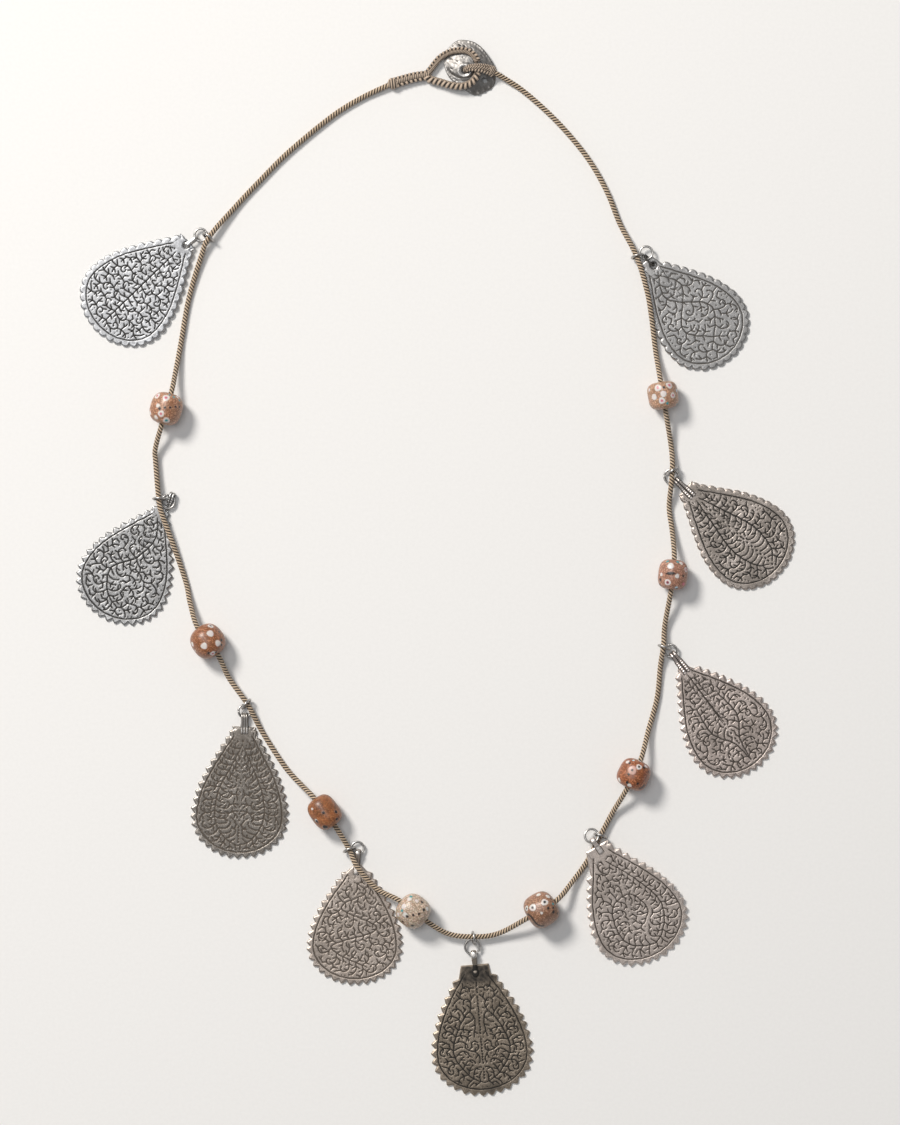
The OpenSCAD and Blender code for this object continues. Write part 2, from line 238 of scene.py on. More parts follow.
def metalAgeGroup():   # cloudy tarnish, fine pits and hammered unevenness of old silver
    group, given, result = newGroup(
        "metalAge", [("Vector", "Vector", None), ("Clouds", "Float", 150.0), ("Pits", "Float", 2200.0)],
        [(label, "Float") for label in ("Tarnish", "Mottle", "Grain", "Pitting", "Height")])
    big = noise(group, given["Vector"], given["Clouds"], 5.0, 0.62)
    mid = noise(group, given["Vector"], 750.0, 3.0, 0.6)
    fine = noise(group, given["Vector"], given["Pits"], 2.0, 0.6)
    grit = addNode(group, "ShaderNodeTexVoronoi", {"Vector": given["Vector"], "Scale": given["Pits"]})
    pits = maths(group, "MULTIPLY", maths(group, "GREATER_THAN", fine, 0.57),
                 maths(group, "SUBTRACT", 0.45, grit.outputs["Distance"], True), True)
    for label, factor, low, high in (("Tarnish", big, 0.34, 0.66), ("Mottle", mid, 0.38, 0.62),
                                     ("Grain", fine, 0.42, 0.58)):
        group.links.new(ramp(group, factor, [(low, 0.0), (high, 1.0)]), result[label])
    group.links.new(maths(group, "MULTIPLY", pits, 2.0, True), result["Pitting"])
    group.links.new(maths(group, "SUBTRACT", maths(group, "MULTIPLY", fine, 0.6), pits), result["Height"])
    return group


def threadFibreGroup():   # fine fibres and soft colour changes of twisted thread
    group, given, result = newGroup("threadFibre", [("Vector", "Vector", None), ("Scale", "Float", 2600.0)],
                                    [("Shade", "Float"), ("Fray", "Float")])
    soft = noise(group, given["Vector"], 90.0, 3.0)
    group.links.new(ramp(group, soft, [(0.35, 0.0), (0.65, 1.0)]), result["Shade"])
    group.links.new(noise(group, given["Vector"], given["Scale"], 2.0, 0.7), result["Fray"])
    return group


metalAge = metalAgeGroup()
threadFibre = threadFibreGroup()


def startMaterial(name):
    material = bpy.data.materials.new(name)
    material.use_nodes = True
    tree = material.node_tree
    shader = tree.nodes["Principled BSDF"]
    coords = addNode(tree, "ShaderNodeTexCoord").outputs["Object"]
    return material, tree, shader, coords


def useGroup(tree, group, **values):
    return addNode(tree, "ShaderNodeGroup", values, node_tree=group).outputs


def readMark(tree, name):   # a value kept on the vertices
    return addNode(tree, "ShaderNodeAttribute", attribute_name=name).outputs["Fac"]


silverLook = {   # shared by all the silver, where the settings of a piece say nothing else
    "polishAndHighlight": (0.80, 0.78, 0.75),   # near white where marks above 1 fall: polished metal and a painted highlight
    "clouds": 150.0, "pits": 2200.0, "tarnished": 0.6, "mottled": 0.22, "grain": 0.35, "pitted": 0.5,
    "hollowRough": 0.3, "mottleRough": 0.1, "tarnishRough": 0.05, "hollowMatte": 0.75,
    "bump": 0.5, "relief": 0.00006}


def silverMaterial(name, settings):   # bright metal, its cloudy tarnish, the dark in every groove with painted shade where a piece marks it, and a painted highlight where marks above 1 make it near white
    s = {**silverLook, **settings}
    material, tree, shader, coords = startMaterial(name)
    age = useGroup(tree, metalAge, Vector=coords, Clouds=s["clouds"], Pits=s["pits"])
    stain = readMark(tree, "stain")
    wearAndHighlight = readMark(tree, "wearAndHighlight")
    clean = maths(tree, "SUBTRACT", 1.0, wearAndHighlight, True)
    cloudy = s["cover"]
    for output, much in (("Tarnish", "tarnished"), ("Mottle", "mottled"), ("Grain", "grain")):
        cloudy = maths(tree, "ADD", maths(tree, "MULTIPLY", age[output], s[much]), cloudy, True)
    colour = mixColour(tree, maths(tree, "MULTIPLY", cloudy, clean), s["metal"], s["tarnish"])
    # marks above 1 paint the metal near white: polish and a painted highlight
    colour = mixColour(tree, maths(tree, "SUBTRACT", wearAndHighlight, 1.0, True), colour, s["polishAndHighlight"])
    # the groove mark gives patina in the grooves, and painted shade where bails, rings and the button put
    # shade in it
    dark = ramp(tree, readMark(tree, "groove"), [(0.18, 0.0), (0.62, 1.0)])
    for place in (maths(tree, "MULTIPLY", age["Pitting"], s["pitted"], True), dark, stain):
        colour = mixColour(tree, place, colour, s["patinaAndShade"])
    hollow = maths(tree, "MAXIMUM", dark, stain)
    dull = maths(tree, "MULTIPLY", hollow, s["hollowRough"])
    dull = maths(tree, "ADD", dull, maths(tree, "MULTIPLY", age["Mottle"], s["mottleRough"]))
    dull = maths(tree, "ADD", dull, maths(tree, "MULTIPLY", clean, s["tarnishRough"]))
    setInputs(tree, shader, {
        "Base Color": colour, "Roughness": maths(tree, "ADD", dull, s["rough"] - s["tarnishRough"], True),
        "Metallic": maths(tree, "SUBTRACT", 1.0, maths(tree, "MULTIPLY", hollow, s["hollowMatte"]), True)})
    addBump(tree, shader, age["Height"], s["bump"], s["relief"])
    return material


def cordMaterial(name, s):   # thread with fine fibres, with painted shade in the creases between its turns
    material, tree, shader, coords = startMaterial(name)
    fibre = useGroup(tree, threadFibre, Vector=coords, Scale=2600.0)
    colour = mixColour(tree, maths(tree, "MULTIPLY", fibre["Shade"], 0.6), s["light"], s["shade"])
    colour = mixColour(tree, maths(tree, "MULTIPLY", fibre["Fray"], 0.5), colour, s["shade"])
    # painted shade in the creases
    creaseShading = ramp(tree, readMark(tree, "groove"), [(0.06, 0.0), (0.5, 1.0)])
    setInputs(tree, shader, {"Base Color": mixColour(tree, creaseShading, colour, s["creaseShade"]), "Roughness": 0.72,
                             "Sheen Weight": 0.2})
    addBump(tree, shader, fibre["Fray"], 0.6, 0.00008)
    return material


# the cord

cordSettings = {
    "radius": 0.93, "sides": 18, "ringStep": 0.25, "lobes": 3, "lobeDepth": 0.32, "lead": 3.15,
    # the crease colour is painted shade
    "light": (0.69, 0.53, 0.375), "shade": (0.49, 0.365, 0.245), "creaseShade": (0.022, 0.013, 0.006)}
cordRoute = [
    (-15.5, 161, 1.5), (-25, 156.5, 0.9), (-34.5, 150.5, 0.9), (-48.5, 139, 0.9), (-59, 128.5, 0.9),
    (-66.5, 120.5, 1.2), (-75, 110.5, 2.7), (-78, 103.5, 1.6), (-82, 90, 0.9), (-84.5, 76, 0.9),
    (-86.5, 64.5, 3.2), (-87.7, 58.2, 5.4), (-90.7, 48, 5.4), (-93, 40, 2.9), (-93, 35.5, 2.2),
    (-92, 24, 2.9), (-91, 18.5, 3), (-87, 7.5, 2), (-83, -4.5, 1), (-81.5, -11.5, 2.6),
    (-78.8, -19.7, 5.5), (-72.2, -28.5, 5.5), (-68.5, -36.5, 2.8), (-62.5, -45, 2.7), (-57.5, -54.5, 0.9),
    (-50, -66, 0.9), (-44.5, -72, 2.6), (-40, -76.5, 4.7), (-33.4, -85.3, 4.7), (-28.5, -93.5, 2.9),
    (-26, -99, 3.2), (-19.5, -106.5, 2.6), (-11.5, -110.5, 5.4), (-3, -117, 5.4), (4.5, -121.5, 3),
    (12.5, -122.5, 2.7), (21, -121.5, 2.5), (30.9, -116, 5.8), (39.9, -110.6, 5.8), (45.5, -104.5, 2.4),
    (51, -97, 0.9), (55, -89, 1.85), (59, -81.5, 1.8), (64, -72.8, 5.4), (68.2, -63.9, 5.4),
    (71, -54, 2), (74, -43, 0.9), (75, -33, 1.3), (76, -26, 2.7), (76.5, -19, 1.9),
    (78.5, -7, 5), (79.5, 3, 5), (79, 12, 2.2), (78, 20, 1.2), (78.5, 27, 3.1), (79, 34, 2.85),
    (78.5, 41.5, 1.9), (76.5, 53, 5), (75, 62, 5), (73.5, 72, 1.8), (72, 84, 2.6),
    (70.5, 92.5, 2.8), (67, 104, 2.8), (61.5, 115, 0.9), (57.5, 125, 0.9), (52, 135, 0.9),
    (45.5, 143.5, 0.9), (38, 151.5, 0.9), (29.5, 159, 0.9), (23.5, 163, 1.6), (20, 165, 2.6)]
beadStarts = (11, 20, 27, 32, 37, 43, 50, 57)   # route points where the cord enters a bead


def makeCord():
    s = cordSettings
    path = smoothRoute(cordRoute, s["ringStep"])
    path[:, 2] = np.maximum(path[:, 2], s["radius"])
    mesh = ropeMesh("cord_twisted", path, s)
    cord = addPiece("cord_twisted", mesh, cordMaterial("cordThread", s), "cord_twist", "cord")


makeCord()
print("cord made")


# charm plates: outline, teeth and engraving

plate = {
    "thick": 0.9, "bellyAt": 0.68, "centreAt": 0.6, "borderInset": 2.35, "borderHalfWidth": 0.24,
    "borderFrom": 6.2, "grooveDepth": 0.13, "rings": 84, "bandRings": 13, "bandWidth": 2.3,
    "edgeRound": 0.32, "edgeReach": 0.55, "foot": 0.12, "warp": 0.07, "wornEdge": 0.95,
    "glintAt": 0.16, "glintWidth": 0.14,   # how deep in a stroke its glint, a painted highlight, lies
    "lean": 0.1, "valleys": (0.84, 1.06), "blunt": 0.16,   # how much a tooth may vary
    "saw": 1.3, "scallop": 2.1,   # the curve of each kind of tooth
    "peaks": {4: 0.8},   # how far a charm's peak reaches past its tip
    "holeRadius": 1.0, "holes": {1: (1.4, 0.75), 9: (3.0, 1.0)}}
charmKeys = (
    "tip", "heading", "length", "width", "endWidth", "end",   # the end is across the tip
    "fall", "teeth", "tooth", "toothDepth", "bare",   # fall of the shoulders; bare stretches beside the tip
    "rise", "finish", "layout")   # rise of the tip off the floor; layout of the engraving
charmRows = [
    ((-82.3, 109.2), 223.9, 43.2, 32.7, 6.9, "flat",
     1.15, 37, "scallop", 1.4, (4.6, 3.8), 1.0, "bright", "tree"),
    ((-90.0, 21.5), 241.7, 43.8, 32.5, 4.6, "flat",
     1.2, 38, "saw", 1.5, (3.3, 3.3), 0, "clear", "ess"),
    ((-63.7, -52.7), 267.3, 44.2, 33.0, 8.0, "flat",
     1.1, 39, "saw", 1.4, (4.1, 4.1), 0, "warm", "ring"),
    ((-25.8, -98.3), 268.1, 40.7, 32.4, 7.0, "roof",
     1.1, 36, "saw", 1.4, (5.5, 6.0), 0, "pale", "wave"),
    ((13.2, -132.0), 275.0, 44.0, 34.4, 9.2, "flat",
     1.0, 34, "saw", 1.5, (7.8, 8.9), 0, "brown", "heart"),
    ((53.8, -92.2), 299.4, 43.4, 33.6, 8.4, "flat",
     1.2, 34, "saw", 1.5, (4.7, 12.2), 2.5, "grey", "coil"),
    ((81.0, -31.2), 306.8, 44.5, 31.8, 4.5, "roof",
     1.2, 37, "saw", 1.5, (6.8, 4.8), 0, "soft", "fork"),
    ((83.4, 26.7), 319.0, 42.8, 31.6, 6.8, "flat",
     1.2, 39, "scallop", 1.1, (3.4, 3.4), 0, "dark", "twin"),
    ((70.0, 102.5), 312.4, 43.7, 31.0, 5.4, "flat",
     1.2, 35, "scallop", 1.3, (7.2, 4.0), 1.0, "cool", "crossed")]
charms = [dict(zip(charmKeys, row), number=i + 1) for i, row in enumerate(charmRows)]
finishKeys = (
    "metal", "tarnish", "patinaAndShade",   # bright metal, tarnished metal, dark in the grooves: patina, and painted shade where bails, rings and the button mark it
    "rough", "cover", "glint",   # roughness, tarnish all over, glint along the strokes, a painted highlight
    "half", "gap", "slot")   # half width of a stroke, and the gap between strokes
finishRows = {
    "bright": ((0.51, 0.51, 0.515), (0.32, 0.32, 0.325), (0.018, 0.016, 0.014),
               0.43, 0.0, 0.3, 0.25, 1.14, "silver_bright"),
    "clear": ((0.42, 0.41, 0.40), (0.22, 0.215, 0.21), (0.016, 0.014, 0.012),
              0.36, 0.1, 0.4, 0.23, 1.3, "silver_bright"),
    "warm": ((0.46, 0.42, 0.38), (0.17, 0.15, 0.13), (0.085, 0.065, 0.048),
             0.38, 0.6, 1.0, 0.20, 1.25, "silver_grey"),
    "pale": ((0.50, 0.43, 0.375), (0.32, 0.27, 0.23), (0.075, 0.058, 0.045),
             0.40, 0.2, 0.5, 0.20, 1.42, "silver_grey"),
    "brown": ((0.46, 0.38, 0.30), (0.19, 0.155, 0.12), (0.010, 0.008, 0.006),
              0.38, 0.3, 0.5, 0.22, 1.3, "silver_dark"),
    "grey": ((0.76, 0.66, 0.595), (0.50, 0.43, 0.38), (0.042, 0.032, 0.025),
             0.40, 0.2, 0.4, 0.21, 1.36, "silver_grey"),
    "soft": ((0.59, 0.50, 0.45), (0.36, 0.305, 0.27), (0.036, 0.028, 0.022),
             0.38, 0.2, 0.5, 0.21, 1.34, "silver_grey"),
    "dark": ((0.54, 0.47, 0.42), (0.27, 0.235, 0.205), (0.012, 0.010, 0.008),
             0.38, 0.2, 0.5, 0.23, 1.26, "silver_dark"),
    "cool": ((0.45, 0.435, 0.42), (0.31, 0.30, 0.29), (0.065, 0.057, 0.050),
             0.40, 0.2, 0.5, 0.20, 1.5, "silver_bright")}
finishes = {name: dict(zip(finishKeys, row)) for name, row in finishRows.items()}


def halfWidth(charm, t):   # half width of the smooth outline at a share t of the length
    top = charm["endWidth"] / charm["width"]
    belly = plate["bellyAt"]
    upper = top + (1 - top) * np.sin(np.pi / 2 * clamped(t / belly)) ** charm["fall"]
    lower = np.sqrt(clamped(1 - ((t - belly) / (1 - belly)) ** 2))
    return charm["width"] / 2 * np.where(t < belly, upper, lower)


def outlineOf(charm):   # the smooth outline as points, with its running length
    t = (1 - np.cos(np.linspace(0, np.pi, 129))) / 2
    side = np.column_stack([charm["length"] * t, halfWidth(charm, t)])
    side = np.vstack([[0, 0], side])
    whole = np.vstack([side, side[-2::-1] * [1, -1]])
    return whole, runningLength(whole)


def outlineAt(outline, reach, s):
    s = np.mod(s, reach[-1])
    return np.column_stack([np.interp(s, reach, outline[:, 0]), np.interp(s, reach, outline[:, 1])])


def inwardAt(outline, reach, s, step=0.15):   # the way to the inside, square to the outline
    t = outlineAt(outline, reach, s + step) - outlineAt(outline, reach, s - step)
    return unitRows(t) @ np.array([[0, -1], [1, 0]])


def bareEdge(charm, outline, reach, side, run):   # the stretch from the tip to the first valley
    bare = charm["bare"][0 if side > 0 else 1]
    s = np.array([bare if side > 0 else reach[-1] - bare])
    valley = (outlineAt(outline, reach, s) + charm["toothDepth"] * inwardAt(outline, reach, s))[0]
    corner = [(0, side * min(charm["endWidth"] / 2, bare))] if charm["end"] == "flat" else []
    line = np.array([(-plate["peaks"].get(charm["number"], 0), 0), *corner, valley])
    length = runningLength(line)
    return np.column_stack([np.interp(run / bare * length[-1], length, line[:, axis]) for axis in (0, 1)])


def toothedEdge(charm, outline, reach, s, rng):
    # teeth cut into the outline by hand: their width, depth and lean vary a little
    first, last = charm["bare"]
    teeth = charm["teeth"]
    q = (s - first) / (reach[-1] - first - last) * teeth
    number = np.clip(np.floor(q), 0, teeth - 1).astype(int)
    lean = rng.uniform(-plate["lean"], plate["lean"], teeth)[number]
    valley = charm["toothDepth"] * rng.uniform(*plate["valleys"], teeth + 1)
    valley[[0, -1]] = charm["toothDepth"]
    blunt = charm["toothDepth"] * rng.uniform(0, plate["blunt"], teeth)[number]
    place = clamped(q - number)
    place = clamped(place + lean * np.sin(np.pi * place))
    off = np.abs(2 * place - 1)
    curved = off ** plate[charm["tooth"]]
    cut = curved if charm["tooth"] == "saw" else 1 - np.sqrt(clamped(1 - curved))
    low = valley[number] * (1 - place) + valley[number + 1] * place
    p = outlineAt(outline, reach, s) + inwardAt(outline, reach, s) * (blunt + (low - blunt) * cut)[:, None]
    for side, outside in ((1, q < 0), (-1, q > teeth)):
        run = (s if side > 0 else reach[-1] - s)[outside]
        p[outside] = bareEdge(charm, outline, reach, side, run)
    return p


def squareRings(n):   # for each grid vertex: its ring as a share, and its place round the ring
    line = np.arange(-n, n + 1)
    u, v = np.meshgrid(line, line)
    r = np.maximum(np.abs(u), np.abs(v))
    safe = np.maximum(r, 1)
    f = np.where(u == -r, np.where(v >= 0, v / (8 * safe), 1 + v / (8 * safe)),
                 np.where(v == r, 1 / 8 + (u + r) / (8 * safe),
                          np.where(u == r, 3 / 8 + (r - v) / (8 * safe), 5 / 8 + (r - u) / (8 * safe))))
    return r / n, np.where(r == 0, 0, f)


# engraving: vines that fill the plate, grown stroke by stroke in the plate's own mm

vine = {
    "cell": 0.2, "step": 0.34, "shortest": 1.5, "longest": 9.5, "every": 1.75, "leave": 52,
    "margin": 3.0, "tipMargin": 4.6, "brownTipMargin": 5.8, "endMargin": 3.4, "leastShare": 0.55,
    "stem": 1.12, "dotGap": 0.8, "dot": 0.24, "bud": 0.33, "budAfter": 8, "wobble": 0.07,
    "curl": 0.12, "curlMore": 1.05, "curlRun": 7.5, "curlPower": 1.7,   # tendrils curl tighter as they run
    "roomPerRun": 0.62, "roomLess": 0.22, "recent": 1.9, "ownGap": 0.9,   # the room they need
    "endWide": 0.72, "middleWider": 0.4, "swell": 0.6, "steep": 1.6}   # width and walls of a stroke
stems = {   # main stems as (share of the length, share of the half width), and whether both halves match
    "tree": ([[(0.13, 0), (0.5, 0), (0.91, 0)]], True),
    "ess": ([[(0.12, 0.1), (0.27, 0.42), (0.45, 0.05), (0.62, -0.42), (0.79, -0.25), (0.87, 0.25)]], False),
    "ring": ([[(0.14, 0), (0.3, 0.4), (0.5, 0.6), (0.7, 0.6), (0.85, 0.4), (0.9, 0)]], True),
    "wave": ([[(0.15, -0.2), (0.24, 0.45), (0.37, -0.5), (0.53, 0.58), (0.69, -0.58), (0.85, 0.4)]], False),
    "heart": ([[(0.9, 0), (0.83, 0.42), (0.66, 0.66), (0.47, 0.55), (0.36, 0.3), (0.42, 0.12),
                (0.55, 0.16)]], True),
    "coil": ([[(0.14, 0), (0.34, 0.55), (0.64, 0.68), (0.87, 0.2), (0.76, -0.55), (0.5, -0.5), (0.44, 0.1),
               (0.6, 0.34), (0.7, 0.05), (0.62, -0.12)]], False),
    "fork": ([[(0.91, 0), (0.74, 0.1), (0.58, 0.42), (0.36, 0.5)], [(0.12, 0), (0.3, 0), (0.56, 0.02)]],
             True),
    "twin": ([[(0.13, 0.2), (0.34, 0.34), (0.6, 0.42), (0.8, 0.34), (0.88, 0.1)]], True),
    "crossed": ([[(0.13, 0.3), (0.33, -0.42), (0.6, 0.5), (0.85, -0.35)],
                 [(0.13, -0.3), (0.33, 0.42), (0.6, -0.5), (0.85, 0.35)]], False)}


def freeCells(charm, outline, margin, tipMargin):   # which cells of a fine net lie inside the border
    x, y = np.meshgrid(np.arange(0, charm["length"], vine["cell"]),
                       np.arange(-charm["width"] / 2, charm["width"] / 2, vine["cell"]), indexing="ij")
    away = np.min([np.hypot(x - p[0], y - p[1]) for p in outline[::3]], axis=0)
    return (away > margin) & (np.abs(y) < halfWidth(charm, x / charm["length"])) & (x > tipMargin)


netReach = 8   # a stroke is felt this many cells away


def netOver(charm, free):   # how far each free cell of the plate is from the strokes laid so far
    reach = np.arange(-netReach, netReach + 1) * vine["cell"]
    return {"free": free, "half": charm["width"] / 2, "gap": finishes[charm["finish"]]["gap"],
            "away": np.full(free.shape, 9.0), "spot": np.hypot(*np.meshgrid(reach, reach))}


def cellAt(net, p):
    return int(p[0] / vine["cell"]), int((p[1] + net["half"]) / vine["cell"])


def roomAt(net, p):   # distance to the nearest stroke, or 0 outside the border
    i, j = cellAt(net, p)
    inside = 0 <= i < net["free"].shape[0] and 0 <= j < net["free"].shape[1] and net["free"][i, j]
    return net["away"][i, j] if inside else 0.0


def layOn(net, line):
    rows, cols = net["free"].shape
    for p in line:
        i, j = cellAt(net, p)
        if netReach <= i < rows - netReach and netReach <= j < cols - netReach:
            part = net["away"][i - netReach:i + netReach + 1, j - netReach:j + netReach + 1]
            np.minimum(part, net["spot"], out=part)


def tendrilLine(net, start, heading, hand, length):   # a stroke that curls tighter until something is near
    line = [np.array(start)]
    s, step, gap = vine, vine["step"], net["gap"]
    recent = int(s["recent"] * gap / step)
    for k in range(int(length / step)):
        run = (k + 1) * step
        heading += hand * step * (s["curl"] + s["curlMore"] * (run / s["curlRun"]) ** s["curlPower"])
        p = line[-1] + step * np.array([math.cos(heading), math.sin(heading)])
        if roomAt(net, p) < min(gap, max(0.0, s["roomPerRun"] * run - s["roomLess"])):
            break
        if len(line) > recent and np.hypot(*(np.array(line[:-recent]) - p).T).min() < gap * s["ownGap"]:
            break
        line.append(p)
    return np.array(line)


def branchPlaces(line, hand, level, gap):   # where the next tendrils leave a stroke, and how they curl
    every = max(1, round(vine["every"] * gap / vine["step"]))
    places = []
    for n, i in enumerate(range(every // 2 + 1, len(line) - 1, every)):
        way = math.atan2(*(line[i + 1] - line[i - 1])[::-1])
        side = -hand if n % 2 == 0 else hand
        places.append((line[i], way + side * math.radians(vine["leave"]), side, level))
        places.append((line[i], way - side * math.radians(vine["leave"]), -side, level + 1))
    return places


def dotAt(p, half):   # a stroke so short that it is a dot
    return p + np.array([[-half, 0], [half, 0]])


def vineStrokes(charm, rng):
    finish = finishes[charm["finish"]]
    half, gap, cell = finish["half"], finish["gap"], vine["cell"]
    tipMargin = vine["brownTipMargin"] if charm["finish"] == "brown" else vine["tipMargin"]
    free = freeCells(charm, outlineOf(charm)[0], vine["margin"], tipMargin)
    lines, mirrored = stems[charm["layout"]]
    if mirrored:   # one half is grown, and the other half mirrors it
        free[:, :int((charm["width"] / 2 + gap * 0.5) / cell)] = False
    net = netOver(charm, free)
    strokes, waiting = [], []
    for stem in lines:
        flat = [(x * charm["length"], y * (halfWidth(charm, np.array(x)) - vine["margin"]), 0)
                for x, y in stem]
        line = smoothRoute(flat, vine["step"])[:, :2]
        line = line[line[:, 0] > tipMargin]
        layOn(net, line)
        strokes.append((line, half * vine["stem"]))
        waiting += branchPlaces(line, 1, 0, gap)
    while waiting:
        waiting.sort(key=lambda place: place[3])
        start, heading, hand, level = waiting.pop(0)
        length = rng.uniform(vine["leastShare"], 1) * vine["longest"]
        line = tendrilLine(net, start, heading, hand, length)
        if len(line) * vine["step"] < vine["shortest"]:
            continue
        layOn(net, line)
        strokes.append((line, half))
        if len(line) > vine["budAfter"]:
            strokes.append((dotAt(line[-1:], 0.04), vine["bud"]))
        waiting += branchPlaces(line, hand, level + 1, gap)
    for i, j in rng.permutation(np.argwhere(free)):   # dots where room is left
        if net["away"][i, j] > vine["dotGap"] * gap:
            p = np.array([i + 0.5, j + 0.5]) * cell - [0, charm["width"] / 2]
            layOn(net, [p])
            strokes.append((dotAt(p, 0.03), vine["dot"]))
    if mirrored:
        strokes += [(line * [1, -1], size) for line, size in strokes]
        for i in range(int(tipMargin / cell) + 2, int((charm["length"] - vine["endMargin"]) / cell)):
            p = np.array([(i + 0.5) * cell, 0])
            if net["away"][cellAt(net, p)] > vine["dotGap"] * gap * 0.9:
                layOn(net, [p])
                strokes.append((dotAt(p, 0.16), vine["bud"]))
    return [(handWobble(line, charm["number"], vine["wobble"]), size) for line, size in strokes]


def handWobble(line, phase, size):   # the small unevenness of a hand that cuts metal
    x, y = line[:, 0], line[:, 1]
    return line + size * np.column_stack([np.sin(1.9 * y + phase) + np.sin(0.8 * x + 2 * phase),
                                          np.sin(2.1 * x - phase) + np.cos(0.9 * y + phase)])


def engrave(points, strokes):   # how deep each point lies in a stroke, from 0 to 1
    depth = np.zeros(len(points))
    for line, half in strokes:
        low, high = line.min(0) - half, line.max(0) + half
        near = np.flatnonzero(((points > low) & (points < high)).all(axis=1))
        if not len(near):
            continue
        p = points[near]
        a, b = line[:-1], line[1:]
        d = b - a
        t = clamped(((p[:, None] - a) * d).sum(2) / np.maximum((d * d).sum(1), 1e-9))
        gap = np.linalg.norm(p[:, None] - (a + t[..., None] * d), axis=2)
        place = (np.arange(len(a)) + t) / len(a)
        wide = half
        if len(a) > 2:   # a stroke is narrow at both ends
            swell = np.sin(np.pi * clamped(place)) ** vine["swell"]
            wide = half * (vine["endWide"] + vine["middleWider"] * swell)
        cut = clamped(vine["steep"] * (1 - gap / wide)).max(axis=1)
        depth[near] = np.maximum(depth[near], cut)
    return depth


def borderStrokes(charm, outline, reach):   # the line that frames the engraving
    start = plate["borderFrom"]
    s = np.linspace(start, reach[-1] - start, 400)
    line = outlineAt(outline, reach, s) + plate["borderInset"] * inwardAt(outline, reach, s)
    line = handWobble(line, charm["number"], 0.035)
    return [(line[i:i + 3], plate["borderHalfWidth"]) for i in range(0, len(line) - 2, 2)]


def slowNoise(x, y, scale, phase):   # a smooth value between about -1 and 1
    return (np.sin(x / scale + 1.3 * np.sin(y / scale * 0.8 + phase))
            * np.cos(y / scale * 1.1 + 1.7 * np.sin(x / scale * 0.6 + 2 * phase)))


def placeOnTable(charm, x, y, z):   # from the plate's own mm to the necklace's
    slope = math.asin(charm["rise"] / charm["length"])
    back = x - charm["length"]
    x2 = charm["length"] + back * math.cos(slope) + z * math.sin(slope)
    z2 = -back * math.sin(slope) + z * math.cos(slope)
    a = math.radians(charm["heading"])
    return np.stack([charm["tip"][0] + x2 * math.cos(a) - y * math.sin(a),
                     charm["tip"][1] + x2 * math.sin(a) + y * math.cos(a), z2], axis=-1)


def platePoints(charm, rng):
    # rings that run from the toothed edge to the middle, on a square grid
    outline, reach = outlineOf(charm)
    centre = np.array([charm["length"] * plate["centreAt"], 0])
    ring, around = squareRings(plate["rings"])
    shape = ring.shape
    ring, s = ring.reshape(-1), around.reshape(-1) * reach[-1]
    base = outlineAt(outline, reach, s)
    teethSeed = rng.integers(1 << 30)
    edge = toothedEdge(charm, outline, reach, s, np.random.default_rng(teethSeed))
    toCentre = unitRows(centre - base)
    facing = np.clip((toCentre * inwardAt(outline, reach, s)).sum(1), 0.3, 1)
    inner = base + toCentre * (plate["bandWidth"] / facing)[:, None]
    bandFrom = 1 - plate["bandRings"] / plate["rings"]
    inBand = clamped((1 - ring) / (1 - bandFrom)) ** 1.25
    flat = np.where((ring >= bandFrom)[:, None], edge + (inner - edge) * inBand[:, None],
                    centre + (inner - centre) * (ring / bandFrom)[:, None])
    return outline, reach, ring, flat, shape, teethSeed


def openHole(flat, shape, hole):   # drops the points in a plate's hole and rounds its rim
    away = np.linalg.norm(flat - hole, axis=1)
    inside = (away < plate["holeRadius"]).reshape(shape)
    padded = np.pad(inside, 1)
    near = np.max([padded[i:i + shape[0], j:j + shape[1]] for i in range(3) for j in range(3)], axis=0)
    rim = (near & ~inside).reshape(-1)
    flat[rim] = hole + (flat[rim] - hole) * (plate["holeRadius"] / away[rim])[:, None]
    return inside


def plateMesh(charm):
    rng = np.random.default_rng(40 + charm["number"])
    outline, reach, ring, flat, shape, teethSeed = platePoints(charm, rng)
    fineS = np.linspace(0, reach[-1], 1200)
    edgeLine = toothedEdge(charm, outline, reach, fineS, np.random.default_rng(teethSeed))
    hole, inside = plate["holes"].get(charm["number"]), None
    if hole:
        inside = openHole(flat, shape, hole)
    nearEdge = np.flatnonzero(ring > 1 - (plate["bandRings"] + 3) / plate["rings"])
    gap = np.full(len(flat), 9.0)   # distance to the nearest edge
    for part in np.array_split(nearEdge, 8):
        gap[part] = np.min(np.linalg.norm(flat[part][:, None] - edgeLine[None], axis=2), axis=1)
    if hole:
        gap = np.minimum(gap, np.abs(np.linalg.norm(flat - hole, axis=1) - plate["holeRadius"]))
    groove = engrave(flat, vineStrokes(charm, rng) + borderStrokes(charm, outline, reach))
    x, y = flat[:, 0], flat[:, 1]
    drop = plate["edgeRound"] * (1 - clamped(gap / plate["edgeReach"])) ** 2
    roll = plate["warp"] * slowNoise(x, y, 4.6, charm["number"]) * clamped(gap)
    z = plate["thick"] - drop + roll - plate["grooveDepth"] * groove
    finish = finishes[charm["finish"]]
    # glint: a painted highlight just inside the edge of each stroke, where its walls would catch the light;
    # it brightens the metal through the same mark as the worn edges
    glint = finish["glint"] * bell(groove - plate["glintAt"], plate["glintWidth"]) * (groove > 0.01)
    marks = {"groove": groove, "wearAndHighlight": np.maximum(clamped(1 - gap) * plate["wornEdge"], glint),
             "stain": stainOf(charm, x, y) * np.clip(gap / 0.5, 0.1, 1)}
    marks = {key: value.reshape(shape) for key, value in marks.items()}
    mesh = gridMesh("plate", placeOnTable(charm, x, y, z).reshape(*shape, 3), marks, inside=inside)
    closePlate(mesh, charm, hole)
    return mesh


